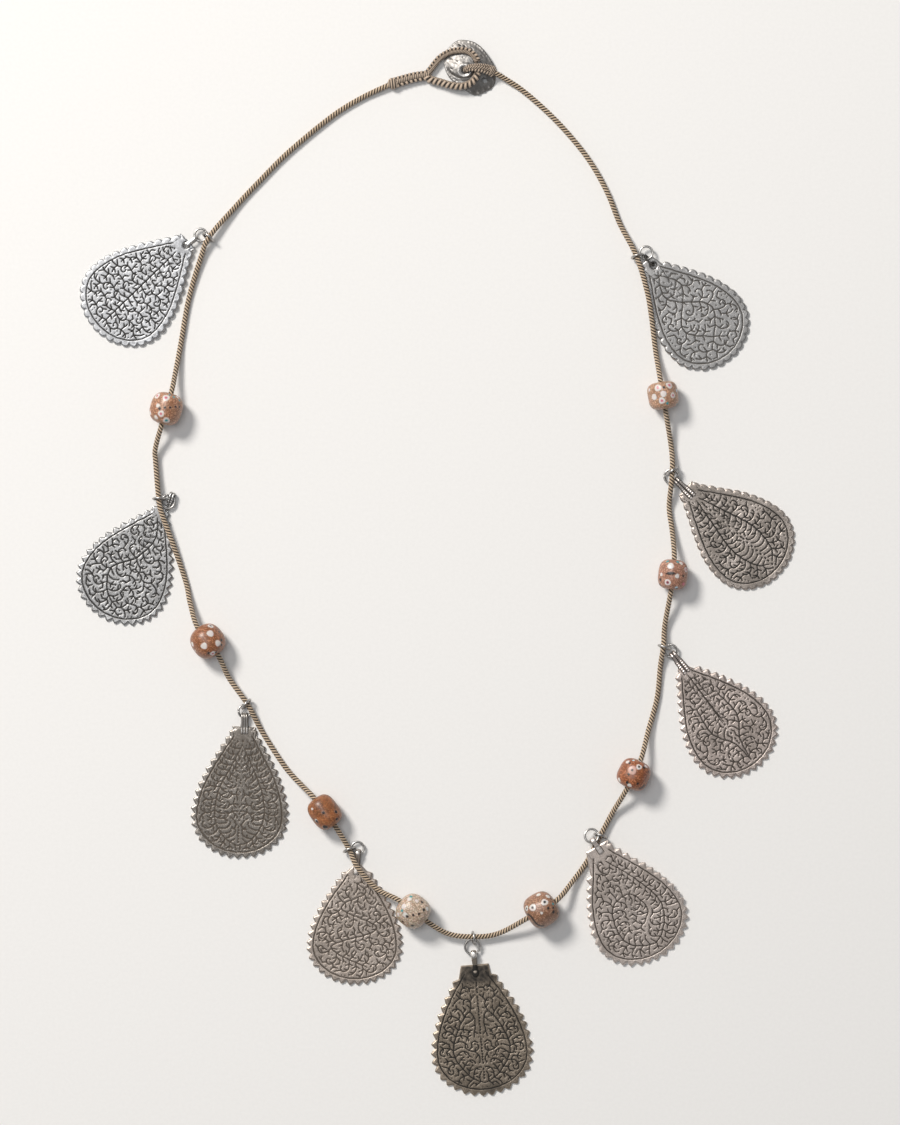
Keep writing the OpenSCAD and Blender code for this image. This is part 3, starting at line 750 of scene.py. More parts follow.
def stainOf(charm, x, y):   # darker patches that follow the real plates
    stain = np.zeros_like(x)
    if charm["finish"] == "brown":   # speckled at the tip, cloudy low down
        speckle = 0.8 + 0.2 * slowNoise(x, y, 0.55, 5.0)
        low = 0.55 + 0.45 * slowNoise(x, y, 3.1, 2.0)
        stain = np.maximum(speckle * clamped(1 - (x - 5.2) / 2.2), 0.7 * low * clamped((x - 33) / 9))
    if charm["finish"] in ("grey", "warm", "dark", "soft"):
        stain = 0.3 * clamped(slowNoise(x, y, 5.2, charm["number"]) - 0.2)
    return stain


def extrudedRim(bm, edges):   # a new row of faces from a rim: its far vertices and edges
    made = bmesh.ops.extrude_edge_only(bm, edges=edges)["geom"]
    return ([v for v in made if isinstance(v, bmesh.types.BMVert)],
            [e for e in made if isinstance(e, bmesh.types.BMEdge)])


def closePlate(mesh, charm, hole):   # the walls and the flat back, from the rims
    bm = bmesh.new()
    bm.from_mesh(mesh)
    low, lower = extrudedRim(bm, [e for e in bm.edges if e.is_boundary])
    foot = plate["foot"]   # the slanted foot of the wall, as high as it is wide
    drop = (plate["thick"] - plate["edgeRound"] - foot) * mm
    bmesh.ops.translate(bm, verts=low, vec=(0, 0, -drop))
    base, footEdges = extrudedRim(bm, lower)
    nowhere = (-99, 0)
    spots = [(charm["length"] * plate["centreAt"], 0.0), hole or nowhere]
    middle, holeAt = (Vector(placeOnTable(charm, np.array(x), np.array(y), np.array(0.0)) * mm).xy
                      for x, y in spots)
    for v in base:
        atHole = (v.co.xy - holeAt).length < 1.2 * plate["holeRadius"] * mm
        toward = (v.co.xy - holeAt) if atHole else (middle - v.co.xy)
        v.co += (toward.normalized() * foot * mm).to_3d() + Vector((0, 0, -foot * mm))
    bmesh.ops.triangle_fill(bm, use_beauty=False, use_dissolve=False, edges=footEdges)
    bmesh.ops.recalc_face_normals(bm, faces=bm.faces)
    bm.to_mesh(mesh)
    bm.free()


# bails: a strap with raised ridges, folded round its ring

bailKeys = (
    "charm", "out", "eyeZ",   # out is the reach of the eye from the tip
    "strap", "rootY", "turn", "style")   # strap is its length on the plate, rootY its place across
bailRows = [
    (2, 3.4, 1.4, 0.05, 1.35, 9, "folded"), (3, 3.3, 1.4, 2.2, 0.2, 2, "ridged"),
    (4, 3.5, 1.4, 3.7, -0.2, -4, "plain"), (5, 3.5, 1.4, 2.0, 0, 0, "neck"),
    (6, 1.9, 3.7, 2.8, 0, 5, "plain"), (7, 2.8, 1.4, 4.4, 0.28, 2, "beaded"),
    (8, 3.6, 1.4, 3.7, -0.24, -3, "beaded")]
bails = {row[0]: dict(zip(bailKeys, row)) for row in bailRows}
bailSettings = {
    "eyeR": 1.1, "thick": 0.42, "across": 19, "step": 0.12, "eyeFrom": 62, "eyeTo": 298,
    "widens": -0.8, "rounded": 0.7, "beadLow": 0.45, "beadRise": 0.55, "backDark": 0.7, "neckDark": 0.85}
styleKeys = (
    "eye", "strap",   # widths at the eye and on the plate
    "ridges", "high", "beads", "dark", "shine")   # their height, pitch of their beads, dark between them, and shine: polish and a painted highlight on their tops
styleRows = {
    "folded": (1.9, 1.2, 2, 0.36, 0.9, 0.9, 1.4),
    "ridged": (2.2, 2.6, 3, 0.34, 0, 1.0, 1.4),
    "beaded": (2.2, 2.9, 2, 0.38, 0.82, 1.0, 1.3),
    "plain": (1.8, 2.1, 1, 0.2, 0, 1.0, 1.4),
    "neck": (1.7, 1.3, 1, 0.16, 0, 0.5, 1.1)}
bailStyles = {name: dict(zip(styleKeys, row)) for name, row in styleRows.items()}
bailBalls = {   # place on the bail, size, how dark, and how worn, where above 1 paints polish and a highlight
    5: [((-3.4, 0, 2.5), (1.25, 1.05, 0.5), 0.0, 1.7),   # a round cap over the ring, polished and with a painted highlight
        ((2.5, 0, 0.92), (1.75, 1.25, 0.3), 0.8, 0.0),   # a small leaf of metal
        ((2.3, 0, 1.16), (0.62, 0.6, 0.2), 0.3, 1.1)],   # its rivet
    6: [((-2.1, 0, 2.35), (0.62, 0.85, 0.32), 0.0, 1.5)]}   # the bump where the strap folds over, polished and with a painted highlight


def bailRoute(bail, eye):   # the strap from the side: along the plate, round the eye, back to the tip
    s, strap = bailSettings, bail["strap"]
    top = plate["thick"] + s["thick"] / 2 + 0.02
    side = [(strap, top - 0.12), (strap * 0.85, top), (strap * 0.4 + 0.05, top + 0.02), (-0.3, top + 0.12)]
    for a in np.radians(np.linspace(s["eyeFrom"], s["eyeTo"], 19)):
        side.append(tuple(eye + s["eyeR"] * np.array([math.cos(a), math.sin(a)])))
    under = eye[1] - s["eyeR"]
    side += [(-0.35, max(0.3, under + 0.1)), (-0.08, max(0.34, under + 0.2))]
    path = smoothRoute([(x, 0, z) for x, z in side], s["step"])
    path[:, 2] = np.maximum(path[:, 2], s["thick"] / 2 + 0.02)
    return path


def bailMesh(bail):
    s, style = bailSettings, bailStyles[bail["style"]]
    path = bailRoute(bail, np.array([-bail["out"], bail["eyeZ"] - charms[bail["charm"] - 1]["rise"]]))
    along = routeFrames(path, (0, -1, 0))[0]
    run = runningLength(path)[:, None]
    wide = np.where(path[:, 0] > s["widens"], style["strap"], style["eye"])
    wide = np.convolve(np.pad(wide, 6, "edge"), np.ones(13) / 13, "valid") / 2   # a soft change of width
    u = np.linspace(-1, 1, s["across"])
    ridge = np.abs(np.sin(np.pi / 2 * style["ridges"] * (u + 1)))[None, :] ** s["rounded"]
    if style["beads"]:
        bead = np.abs(np.cos(np.pi * run / style["beads"])) ** s["rounded"]
        ridge = ridge * (s["beadLow"] + s["beadRise"] * bead)
    ridge = ridge * np.ones_like(run)
    outer = s["thick"] / 2 + style["high"] * (ridge - 0.5)
    # dark between the ridges and at the strap's edges: patina in the hollows and painted shade; the back of
    # the strap is painted shade
    dark = style["dark"] * clamped(1.3 - 1.9 * ridge)
    face, dark = (np.concatenate([front, np.full(front.shape, back), front[:, :1]], axis=1)
                  for front, back in ((outer, -s["thick"] / 2), (dark, s["backDark"])))
    if bail["style"] == "neck":
        dark = np.maximum(dark, s["neckDark"] * (path[:, 0] > 0.1)[:, None])
    lift = np.cross(along, np.broadcast_to((0, -1, 0), along.shape))
    points = path[:, None] + face[:, :, None] * lift[:, None]
    points[..., 1] += wide[:, None] * np.concatenate([u, u[::-1], u[:1]])[None, :]
    # the strap's tops are painted near white by its shine: polish and a painted highlight
    marks = {"groove": dark, "wearAndHighlight": style["shine"] * clamped(1.1 - 1.2 * dark), "stain": 0 * dark}
    mesh = gridMesh("bail", onBail(bail, points), marks, closedU=True, caps=True)
    return [mesh] + [ballMesh(bail, *ball) for ball in bailBalls.get(bail["charm"], [])]


def onBail(bail, points):   # from the bail's own mm to the necklace's
    charm = charms[bail["charm"] - 1]
    a = math.radians(bail["turn"])
    x = points[..., 0] * math.cos(a) - points[..., 1] * math.sin(a)
    y = points[..., 0] * math.sin(a) + points[..., 1] * math.cos(a) + bail["rootY"]
    world = placeOnTable(charm, x, y, points[..., 2])
    world[..., 2] = np.maximum(world[..., 2], 0.02)
    return world


def ballMesh(bail, at, size, groove, wearAndHighlight):   # a flattened ball of metal, for caps and rivets
    rows = np.linspace(-np.pi / 2, np.pi / 2, 13)[:, None]
    turn = aroundTurn(24)[None, :]
    wide = np.cos(rows) ** 0.6   # flatter on top than a true ball
    high = np.sign(rows) * np.abs(np.sin(rows)) ** 0.7 + 0 * turn
    shape = np.stack([wide * np.cos(turn), wide * np.sin(turn), high], axis=-1)
    marks = {"groove": groove + 0 * high, "wearAndHighlight": wearAndHighlight + 0 * high, "stain": 0 * high}
    return gridMesh("ball", onBail(bail, shape * size + np.array(at)), marks, closedU=True)


def makeCharms():
    for charm in charms:
        number, finish = charm["number"], finishes[charm["finish"]]
        meshes = [plateMesh(charm)]
        if number in bails:
            meshes += bailMesh(bails[number])
        name = "charm_plate_%d" % number
        addPiece(name, joined(name, meshes), silverMaterial("silver_%d" % number, finish), finish["slot"],
                 "charm_%d" % number)


makeCharms()
print("charms made")


# jump rings and the two long links, bent from wire

ringSettings = {
    "wire": 0.76, "outerLess": 0.75, "sides": 12, "steps": 60, "gap": 5, "cordRing": 4.7, "clear": 0.02,
    "metal": (0.47, 0.45, 0.43), "tarnish": (0.28, 0.265, 0.245), "patinaAndShade": (0.03, 0.025, 0.02),
    "rough": 0.32, "cover": 0.05, "clouds": 400.0, "grain": 0.1, "relief": 0.00001, "innerDark": 0.4}
bailRings = [   # centre, slopes along x and y, outer size
    ((-78.0, 111.1, 1.5), (0, 0), 4.9), ((-89, 22.2, 1.46), (0, 5.5), 5.2),
    ((-63.4, -47.5, 1.35), (3, 13), 4.9), ((-25.8, -93.1, 1.4), (0, 3), 4.9),
    ((12.4, -126.0, 1.45), (2, -3), 5.7), ((52.1, -88.9, 3.36), (-8, 2), 5.3),
    ((78.5, -27.4, 1.4), (6, -6), 4.9), ((78.8, 30.6, 1.23), (4, -5), 5.6),
    ((70.3, 105.1, 2.3), (0, 0), 5.0)]
cordRings = [   # centre, way and lean
    ((-75.5, 110.2), -36, 14), ((-91.8, 23.2), 0, 8), ((-62.8, -45.1), 50, 8), ((-28.5, -93.6), 21, 12),
    ((12.8, -122.9), -84, 8), ((55.0, -88.9), -18, 10), ((76.3, -26.2), -19, 5), ((78.9, 32.6), 37, 0),
    ((67.4, 103.9), 16, 12)]
tipLinks = [   # charm, way, length and height of the loop, its half widths at the plate and at the ring,
    # flatness, tilt, shift towards the plate, how worn and how dark it is
    # link 1's wear above 1 paints its wire near white: polish and a painted highlight
    (1, 38, 4.88, 3.0, (0.88, 0.56), 0.22, 0, 0.22, 1.8, 0),
    (9, 131, 4.2, 3.6, (0.34, 0.34), 0.34, 20, 0, 0.0, 0.6)]


def wireMesh(path, closed, wide=None, thick=None, flatWay=None, wearAndHighlight=1.0, dark=0.0):
    # wire round a path: round, or a flat strap whose half width may change on the way
    s = ringSettings
    along = unitRows(np.gradient(path, axis=0))
    if closed:
        along[0] = along[-1] = unitRows(path[1] - path[-2])
    out = unitRows(path - path.mean(axis=0))
    if flatWay is not None:
        out = np.cross(np.broadcast_to(flatWay, along.shape), along)
    out = unitRows(out - (out * along).sum(1, keepdims=True) * along)
    up = np.cross(along, out)
    a = aroundTurn(s["sides"])
    wide = np.full(len(path), s["wire"] / 2) if wide is None else wide
    thick = s["wire"] / 2 if thick is None else thick
    points = (path[:, None] + thick * np.cos(a)[None, :, None] * out[:, None]
              + wide[:, None, None] * np.sin(a)[None, :, None] * up[:, None])
    points[..., 2] = np.maximum(points[..., 2], s["clear"])
    inner = clamped(-np.cos(a))[None, :] * np.ones(len(path))[:, None]   # the inner side, painted darker: patina and painted shade
    marks = {"groove": dark + s["innerDark"] * inner, "wearAndHighlight": wearAndHighlight * (1 - inner), "stain": 0 * inner}
    return gridMesh("wire", points, marks, closedU=True, closedV=closed, caps=not closed)


def ringPath(centre, axisU, axisV, outer, openAt):   # a ring of a given outer size, with a cut in its wire
    s = ringSettings
    a = np.radians(openAt + s["gap"] / 2 + np.linspace(0, 360 - s["gap"], s["steps"]))
    return centre + (outer - s["outerLess"]) / 2 * (np.cos(a)[:, None] * axisU + np.sin(a)[:, None] * axisV)


def linkMesh(row):   # a long link that stands on edge, from the plate's hole outwards
    s = ringSettings
    number, way, length, height, halves, thick, tilt, shift, wearAndHighlight, dark = row
    hole = [np.array(place) for place in (*plate["holes"][number], 0.0)]
    bend = (height - s["outerLess"]) / 2
    a = np.radians(np.linspace(-90, 90, 17))
    far = np.column_stack([length - bend + bend * np.cos(a), bend * np.sin(a)])
    near = np.column_stack([bend - bend * np.cos(a) ** 0.5,   # squarer than the far end
                            -bend * np.sign(np.sin(a)) * np.abs(np.sin(a)) ** 0.7])
    loop = evenRoute(np.vstack([far, near, far[:1]]), 73)
    turn, lean = math.radians(way), math.radians(tilt)
    along = np.array([math.cos(turn), math.sin(turn), 0])
    side = np.array([-along[1], along[0], 0])
    upright = math.cos(lean) * np.array([0, 0, 1.0]) + math.sin(lean) * side
    start = placeOnTable(charms[number - 1], *hole) - shift * along
    start[2] = height / 2 + s["clear"]
    path = start + loop[:, :1] * along + loop[:, 1:] * upright
    wide = halves[0] + (halves[1] - halves[0]) * clamped(2.2 * clamped(loop[:, 0] / length))
    return wireMesh(path, True, wide, thick, np.cross(upright, along), wearAndHighlight, dark)


def makeRings():
    s = ringSettings
    material = silverMaterial("ringWire", s)
    for i, (centre, slope, outer) in enumerate(bailRings):   # these lie down
        sx, sy = math.radians(slope[0]), math.radians(slope[1])
        axisU = np.array([math.cos(sy), 0, -math.sin(sy)])
        axisV = np.array([math.sin(sx) * math.sin(sy), math.cos(sx), math.sin(sx) * math.cos(sy)])
        path = ringPath(np.array(centre), axisU, axisV, outer, 40 + 70 * i)
        addPiece("jump_ring_%d" % (i + 1), wireMesh(path, False), material, "ring_silver",
                 "bail_ring_%d" % (i + 1))
    for i, (centre, way, lean) in enumerate(cordRings):   # these stand round the cord
        turn, tilt = math.radians(way), math.radians(lean)
        flat = np.array([math.cos(turn), math.sin(turn), 0])
        upright = np.array([-flat[1] * math.sin(tilt), flat[0] * math.sin(tilt), math.cos(tilt)])
        middle = np.array([*centre, s["cordRing"] / 2 + 0.08])
        path = ringPath(middle, flat, upright, s["cordRing"], 250 + 17 * i)
        addPiece("cord_jump_ring_%d" % (i + 1), wireMesh(path, False), material, "ring_silver",
                 "cord_ring_%d" % (i + 1))
    for row in tipLinks:
        addPiece("wire_link_%d" % row[0], linkMesh(row), material, "ring_silver", "tip_link_%d" % row[0])


makeRings()
print("rings made")


# glass beads with laid-on eyes and dots

beadSettings = {
    "bore": 1.5, "around": 140, "along": 58, "lump": 0.13, "lumpMost": 0.16, "soft": 0.16, "raised": 0.05,
    "wave": 0.12, "wallRows": 7, "eyeScale": 0.9, "dotScale": 1.15, "clear": 0.02}
beadSizes = [   # size across, and how square it is from the side
    (10.8, 2.7), (11.0, 2.5), (9.4, 3.2), (10.8, 2.6), (11.6, 2.9), (10.8, 3.0), (10.0, 3.0), (10.0, 3.5)]
glazes = {
    "white": (0.62, 0.57, 0.54), "pink": (0.50, 0.13, 0.17), "blush": (0.47, 0.27, 0.215),
    "dark": (0.012, 0.007, 0.006), "teal": (0.03, 0.26, 0.28), "plum": (0.20, 0.03, 0.05),
    "blue": (0.50, 0.64, 0.70)}
eyes = {   # how each kind is laid: colours and shares of its radius
    "pinkEye": (("white", 1.0), ("pink", 0.42)), "darkEye": (("white", 1.0), ("dark", 0.42)),
    "tealEye": (("white", 1.0), ("teal", 0.45)), "plumEye": (("white", 1.0), ("plum", 0.45)),
    "blushEye": (("blush", 1.0), ("dark", 0.3)), **{tone: ((tone, 1.0),) for tone in glazes}}
beadEyes = [   # for each bead: across and up from its middle in mm, radius, kind
    [(0.1, 3.5, 1.35, "pinkEye"), (-2.9, 4.1, 1.2, "pinkEye"), (-1.5, -1.9, 1.2, "pinkEye"),
     (-3.2, -3.0, 0.85, "white"), (-5.2, -1.4, 0.8, "white"), (0.3, -4.1, 1.3, "tealEye"),
     (-2, 0, 0.46, "dark"), (-0.2, 0.2, 0.38, "dark"), (1.6, 0.3, 0.4, "dark"), (3.3, 0.6, 0.38, "dark"),
     (4.4, 0.4, 0.36, "dark"), (1.3, 4.4, 0.5, "teal"), (2.7, 3.7, 0.5, "teal"), (4.4, 2.6, 0.5, "teal"),
     (3.8, 3.7, 0.6, "white"), (-2.6, 0.8, 0.8, "white")],
    [(-2.4, 2.7, 1.45, "darkEye"), (1.2, 2.6, 1.25, "white"), (-0.9, -1.5, 1.2, "white"),
     (3.6, -0.6, 1.15, "white"), (4.6, 0.5, 0.46, "dark"), (4.7, -1.2, 0.42, "dark"),
     (3.9, 3.2, 0.42, "dark"), (1.1, 5.0, 1.1, "darkEye"), (1.9, -4.0, 1.05, "pinkEye"),
     (0.5, -3.9, 0.4, "dark"), (3.0, -3.7, 0.42, "dark"), (-5.0, -1, 0.9, "white"),
     (-4.0, -3.1, 0.4, "white")],
    [(-0.3, 0, 0.45, "dark"), (3.9, 0.3, 0.5, "dark"), (4.1, -2.2, 0.45, "dark"),
     (-2.6, -2.7, 0.7, "white"), (-2.4, -3.0, 0.5, "dark"), (0.2, -4.8, 0.8, "dark"),
     (-4.1, 1.2, 0.45, "white")],
    [(3.0, 3.2, 0.46, "dark"), (3.6, 0.6, 0.48, "dark"), (2.1, -0.6, 0.42, "dark"),
     (0.2, -1, 0.4, "dark"), (-2.5, -0.9, 1.0, "white"), (-2.0, -1.5, 0.46, "dark"),
     (-0.2, -4.6, 0.5, "dark"), (3.9, -3.7, 0.5, "dark"), (-3.1, 1.9, 1.0, "white"),
     (-3.6, 0.5, 0.55, "teal"), (-0.7, 5.0, 0.6, "teal"), (-1.2, 4.2, 0.9, "white"),
     (1.4, 3.6, 0.8, "white"), (4.7, 1.0, 0.8, "white"), (-4.9, -1, 0.8, "white"),
     (-3.4, -3.4, 0.4, "dark")],
    [(-3.0, 1.1, 1.35, "darkEye"), (0.9, 3.0, 1.3, "darkEye"), (-1.1, 5.2, 0.9, "white"),
     (2.1, 4.7, 0.9, "white"), (3.1, 3.9, 0.4, "dark"), (2.2, 0.9, 0.42, "dark"),
     (3.9, -0.4, 0.5, "dark"), (5.2, -1, 0.42, "dark"), (-5.1, 0.6, 1.0, "darkEye"),
     (3.7, 2.2, 0.55, "teal"), (0.0, -0.7, 0.55, "white"), (3.9, 1.0, 0.36, "dark")],
    [(-2.2, 4.3, 0.8, "white"), (-1.6, 3.9, 0.4, "dark"), (-0.2, 4.8, 0.5, "blue"),
     (-0.8, 1.7, 1.7, "blushEye"), (1.6, 2.7, 1.1, "darkEye"), (3.9, 2.8, 0.8, "white"),
     (3.2, 2.4, 0.46, "dark"), (2.0, 4.4, 0.7, "white"), (4.9, 0.9, 0.42, "dark"),
     (1.0, -2.7, 0.42, "dark"), (-2.4, -2.6, 0.5, "dark"), (-5.0, -1.8, 0.9, "white"),
     (-1.7, -3.5, 0.9, "white"), (-1.9, 0.2, 0.4, "dark")],
    [(-1.0, 2.8, 1.25, "white"), (-3.9, 0, 0.7, "white"), (1.2, -0.4, 0.85, "white"),
     (-1.9, -2.6, 1.25, "plumEye"), (4.3, 1.7, 1.0, "pinkEye"), (3.4, -3.2, 0.7, "pink"),
     (3.2, -0.4, 0.36, "dark"), (-4.2, -1.6, 0.46, "dark"), (-4.3, -3.5, 0.46, "dark"),
     (-1.8, 4.4, 0.6, "teal"), (1.5, 4.2, 0.6, "teal"), (2.7, 3.7, 0.8, "white"),
     (-4.6, 2.5, 0.7, "white"), (1.0, -4.3, 0.6, "blue"), (1.3, -4.6, 0.42, "dark")],
    [(-1.9, 2.5, 1.35, "pinkEye"), (2.0, 3.2, 1.3, "pinkEye"), (0.0, 0.4, 1.15, "white"),
     (3.1, 0.0, 1.1, "pinkEye"), (-3.1, -0.6, 1.15, "white"), (-0.5, -1.9, 1.2, "pinkEye"),
     (-4.6, 1.7, 0.6, "white"), (4.4, 1.6, 0.6, "blue"), (1.2, -2.8, 0.5, "teal"),
     (0.1, 2.4, 0.38, "dark"), (4.5, -3.0, 0.45, "teal")]]
beadLines = {   # dark lines laid on three beads: points across and up, half width
    4: [([(-4.6, -1.2), (-3.6, -1.9), (-2.7, -3.1), (-1.6, -4.5), (-0.4, -5.1), (0.6, -5.2)], 0.27)],
    5: [([(1.9, -4.6), (2.7, -4.2), (3.3, -3.5)], 0.3)],
    6: [([(-2.3, 0.36), (-0.9, 0.4), (0.5, 0.36)], 0.26), ([(-1.6, 0.4), (-0.9, 0.42), (-0.2, 0.4)], 0.5)]}
glassTones = [   # body colour of each bead, its cloudy second colour, and its slot
    ((0.345, 0.172, 0.097), (0.23, 0.105, 0.052), "taupe"),
    ((0.26, 0.10, 0.04), (0.175, 0.06, 0.02), "taupe"),
    ((0.34, 0.125, 0.042), (0.12, 0.04, 0.012), "amber"),
    ((0.44, 0.345, 0.265), (0.31, 0.22, 0.15), "pale"),
    ((0.275, 0.142, 0.083), (0.19, 0.09, 0.046), "taupe"),
    ((0.28, 0.09, 0.03), (0.17, 0.05, 0.015), "taupe"),
    ((0.345, 0.175, 0.118), (0.23, 0.105, 0.062), "taupe"),
    ((0.37, 0.215, 0.135), (0.27, 0.145, 0.082), "taupe")]


def glassMaterial(name, body, cloudy, veinScale, speckle):   # clouded glass with specks, under its glaze
    material, tree, shader, coords = startMaterial(name)
    veins = noise(tree, coords, veinScale, 6.0, 0.62, 1.0)
    specks = noise(tree, coords, 2100.0, 3.0)
    pale = tuple(min(1, c * 1.65 + 0.03) for c in body)
    colour = body
    for factor, stops, tone in ((veins, [(0.36, 0.0), (0.64, 1.0)], cloudy),
                                (specks, [(0.53, 0.0), (0.62, speckle)], cloudy),
                                (specks, [(0.38, speckle), (0.47, 0.0)], pale)):
        colour = mixColour(tree, ramp(tree, factor, stops), colour, tone)
    glaze = addNode(tree, "ShaderNodeAttribute", attribute_name="glaze").outputs
    setInputs(tree, shader, {
        "Base Color": mixColour(tree, glaze["Alpha"], colour, glaze["Color"]), "Roughness": 0.42,
        "Subsurface Weight": 0.15, "Subsurface Scale": 0.0008, "Coat Weight": 0.3, "Coat Roughness": 0.3})
    addBump(tree, shader, specks, 0.5, 0.00008)
    return material


def beadSurface(number):   # the centre and the points of the lumpy barrel with its bore
    s = beadSettings
    a, b = (np.array(cordRoute[beadStarts[number] + i], float) for i in (0, 1))
    axis = unitRows(b - a)
    across, square = beadSizes[number]
    length, radius = np.linalg.norm(b - a), across / 2
    t = np.linspace(-np.pi / 2, np.pi / 2, 400)
    r = radius * np.cos(t) ** (2 / square)
    h = length / 2 * np.sign(t) * np.abs(np.sin(t)) ** (2 / square)
    wider = r > s["bore"]
    h, r = evenRoute(np.column_stack([h[wider], r[wider]]), s["along"]).T
    wall = np.linspace(h[-1], h[0], s["wallRows"])
    r = np.concatenate([r, np.full(s["wallRows"], s["bore"]), r[:1]])
    h = np.concatenate([h, wall, h[:1]])
    side = unitRows(np.cross(axis, (0, 0, 1.0)))
    turn = aroundTurn(s["around"])
    out = np.cos(turn)[None, :, None] * side + np.sin(turn)[None, :, None] * np.cross(side, axis)
    lump = s["lump"] * (np.sin(2 * turn + number) + 0.6 * np.cos(3 * turn + 2 * number)
                        + 0.4 * np.sin(5 * turn + 3 * number))[None, :] * (r / radius)[:, None] ** 2
    lump = lump - (s["wave"] * np.cos(3 * h / length + number) * (r > s["bore"]))[:, None]
    wide = r[:, None] + np.minimum(lump, s["lumpMost"])
    centre = (a + b) / 2
    return centre, centre + wide[..., None] * out + h[:, None, None] * axis


def layGlaze(glaze, raised, cover, tone):   # one more layer of glaze over those laid before
    cover = cover[..., None]
    under = np.where(glaze[..., 3:] > 0, glaze[..., :3], glazes[tone])
    glaze[..., :3] = glazes[tone] * cover + under * (1 - cover)
    glaze[..., 3:] = np.maximum(glaze[..., 3:], cover)
    np.maximum(raised, cover[..., 0], out=raised)


def beadMesh(number):
    s = beadSettings
    centre, points = beadSurface(number)
    points[..., 2] = np.maximum(points[..., 2], s["clear"])
    rel = points - centre
    glaze = np.zeros((*points.shape[:2], 4))
    raised = np.zeros(points.shape[:2])
    for above in (1, -1):   # the far side repeats the near side, mirrored
        beyond = np.where(rel[..., 2] * above > -0.6, 0, 99)
        for dx, dy, size, kind in beadEyes[number]:
            flat = np.hypot(rel[..., 0] - dx * above, rel[..., 1] - dy) + beyond
            spot = rel.reshape(-1, 3)[np.argmin(flat - 0.02 * rel[..., 2] * above)]
            away = np.linalg.norm(rel - spot, axis=2)
            turn = np.arctan2(rel[..., 1] - spot[1], rel[..., 0] - spot[0])
            uneven = 1 + 0.06 * np.sin(3 * turn + dx * 9)
            scale = s["dotScale"] if kind == "dark" else s["eyeScale"]
            for tone, part in eyes[kind]:
                cover = clamped((size * part * uneven * scale - away) / s["soft"] + 0.5)
                layGlaze(glaze, raised, cover, tone)
        for line, width in beadLines.get(number, []):
            line = smoothRoute([(x * above, y, 0) for x, y in line], 0.1)[:, :2]
            away = np.min(np.linalg.norm(rel[..., None, :2] - line, axis=3), axis=2) + beyond
            layGlaze(glaze, raised, clamped((width - away) / s["soft"] + 0.5), "dark")
    points = points + s["raised"] * raised[..., None] * unitRows(rel)
    points[..., 2] = np.maximum(points[..., 2], s["clear"])
    return gridMesh("bead", points, {"glaze": glaze}, closedU=True, closedV=True)


def makeBeads():
    for i, (body, cloudy, slot) in enumerate(glassTones):
        veinScale, speckle = (230.0, 0.35) if slot == "amber" else (620.0, 0.9)
        material = glassMaterial("glass_%d" % (i + 1), body, cloudy, veinScale, speckle)
        addPiece("glass_bead_%d" % (i + 1), beadMesh(i), material, "bead_" + slot, "bead_%d" % (i + 1))


makeBeads()
print("beads made")


# clasp: a domed button, and a knotted loop of cord

button = {
    "at": (11.5, 167.2), "hole": (9.8, 165.6, 1.05), "domeR": 23, "domeH": 2.7, "thick": 0.8, "rings": 44,
    "outline": [(9.3, 176.1), (6.7, 175.5), (3.7, 172.2), (3, 168.2), (4.3, 164.2), (6.7, 161.8),
                (12.7, 157.9), (16.7, 158.8), (19.7, 161.2), (20, 166.5), (16.7, 172.2), (13.3, 175.2)],
    "sideHoles": [(13.5, 168.8, 0.8), (16.5, 162.5, 0.85)], "arc": (9.6, 169.0, 5.8),
    "dents": [(8.2, 174.3, 1), (9.8, 173.9, 1), (12.2, 173.0, 1), (7.0, 172.9, 0.8), (15.6, 170.6, 0.8),
              (17.4, 167.6, 0.8), (5.2, 169.6, 0.6), (7.4, 168.9, 0.5), (5.4, 166.4, 0.5),
              (6.4, 164.6, 0.5), (9.2, 170.2, 0.5)],
    "hemHigh": 0.4, "rimHigh": 0.16, "arcDeep": 0.16, "rippleHigh": 0.2, "dentDeep": 0.26, "bentHigh": 0.22,
    "lowest": 0.32, "metal": (0.40, 0.385, 0.37), "tarnish": (0.24, 0.225, 0.21),
    "patinaAndShade": (0.025, 0.02, 0.016), "rough": 0.42, "cover": 0.25, "clouds": 500.0}


def closedSmooth(points, count):
    p = np.array(points, float)
    ring = np.vstack([p[-2:], p, p[:3]])
    fine = smoothRoute(np.column_stack([ring, 0 * ring[:, 0]]), 0.05)
    start = np.argmin(np.linalg.norm(fine[:, :2] - p[0], axis=1)[:len(fine) // 2])
    end = len(fine) // 2 + np.argmin(np.linalg.norm(fine[len(fine) // 2:, :2] - p[0], axis=1))
    return evenRoute(fine[start:end + 1, :2], count)


def buttonFlat():   # rings from the middle hole to the rim, seen from above, with the side holes
    s = button
    around = closedSmooth(s["outline"], 193)
    hole = np.array(s["hole"][:2])
    angles = np.unwrap(np.arctan2(around[:, 1] - hole[1], around[:, 0] - hole[0]))
    inner = hole + s["hole"][2] * np.column_stack([np.cos(angles), np.sin(angles)])
    place = np.linspace(0, 1, s["rings"])[:, None, None] ** 1.1
    flat = inner[None] * (1 - place) + around[None] * place
    drop = np.zeros(flat.shape[:2], bool)
    for x, y, r in s["sideHoles"]:
        d = flat - (x, y)
        gap = np.linalg.norm(d, axis=2, keepdims=True)
        rim = np.array((x, y)) + d / np.maximum(gap, 1e-6) * np.minimum(gap, r)
        flat = np.where(gap < r * 1.15, rim, flat)
        drop |= np.linalg.norm(flat - (x, y), axis=2) < r * 0.93
    return flat, drop, around, hole


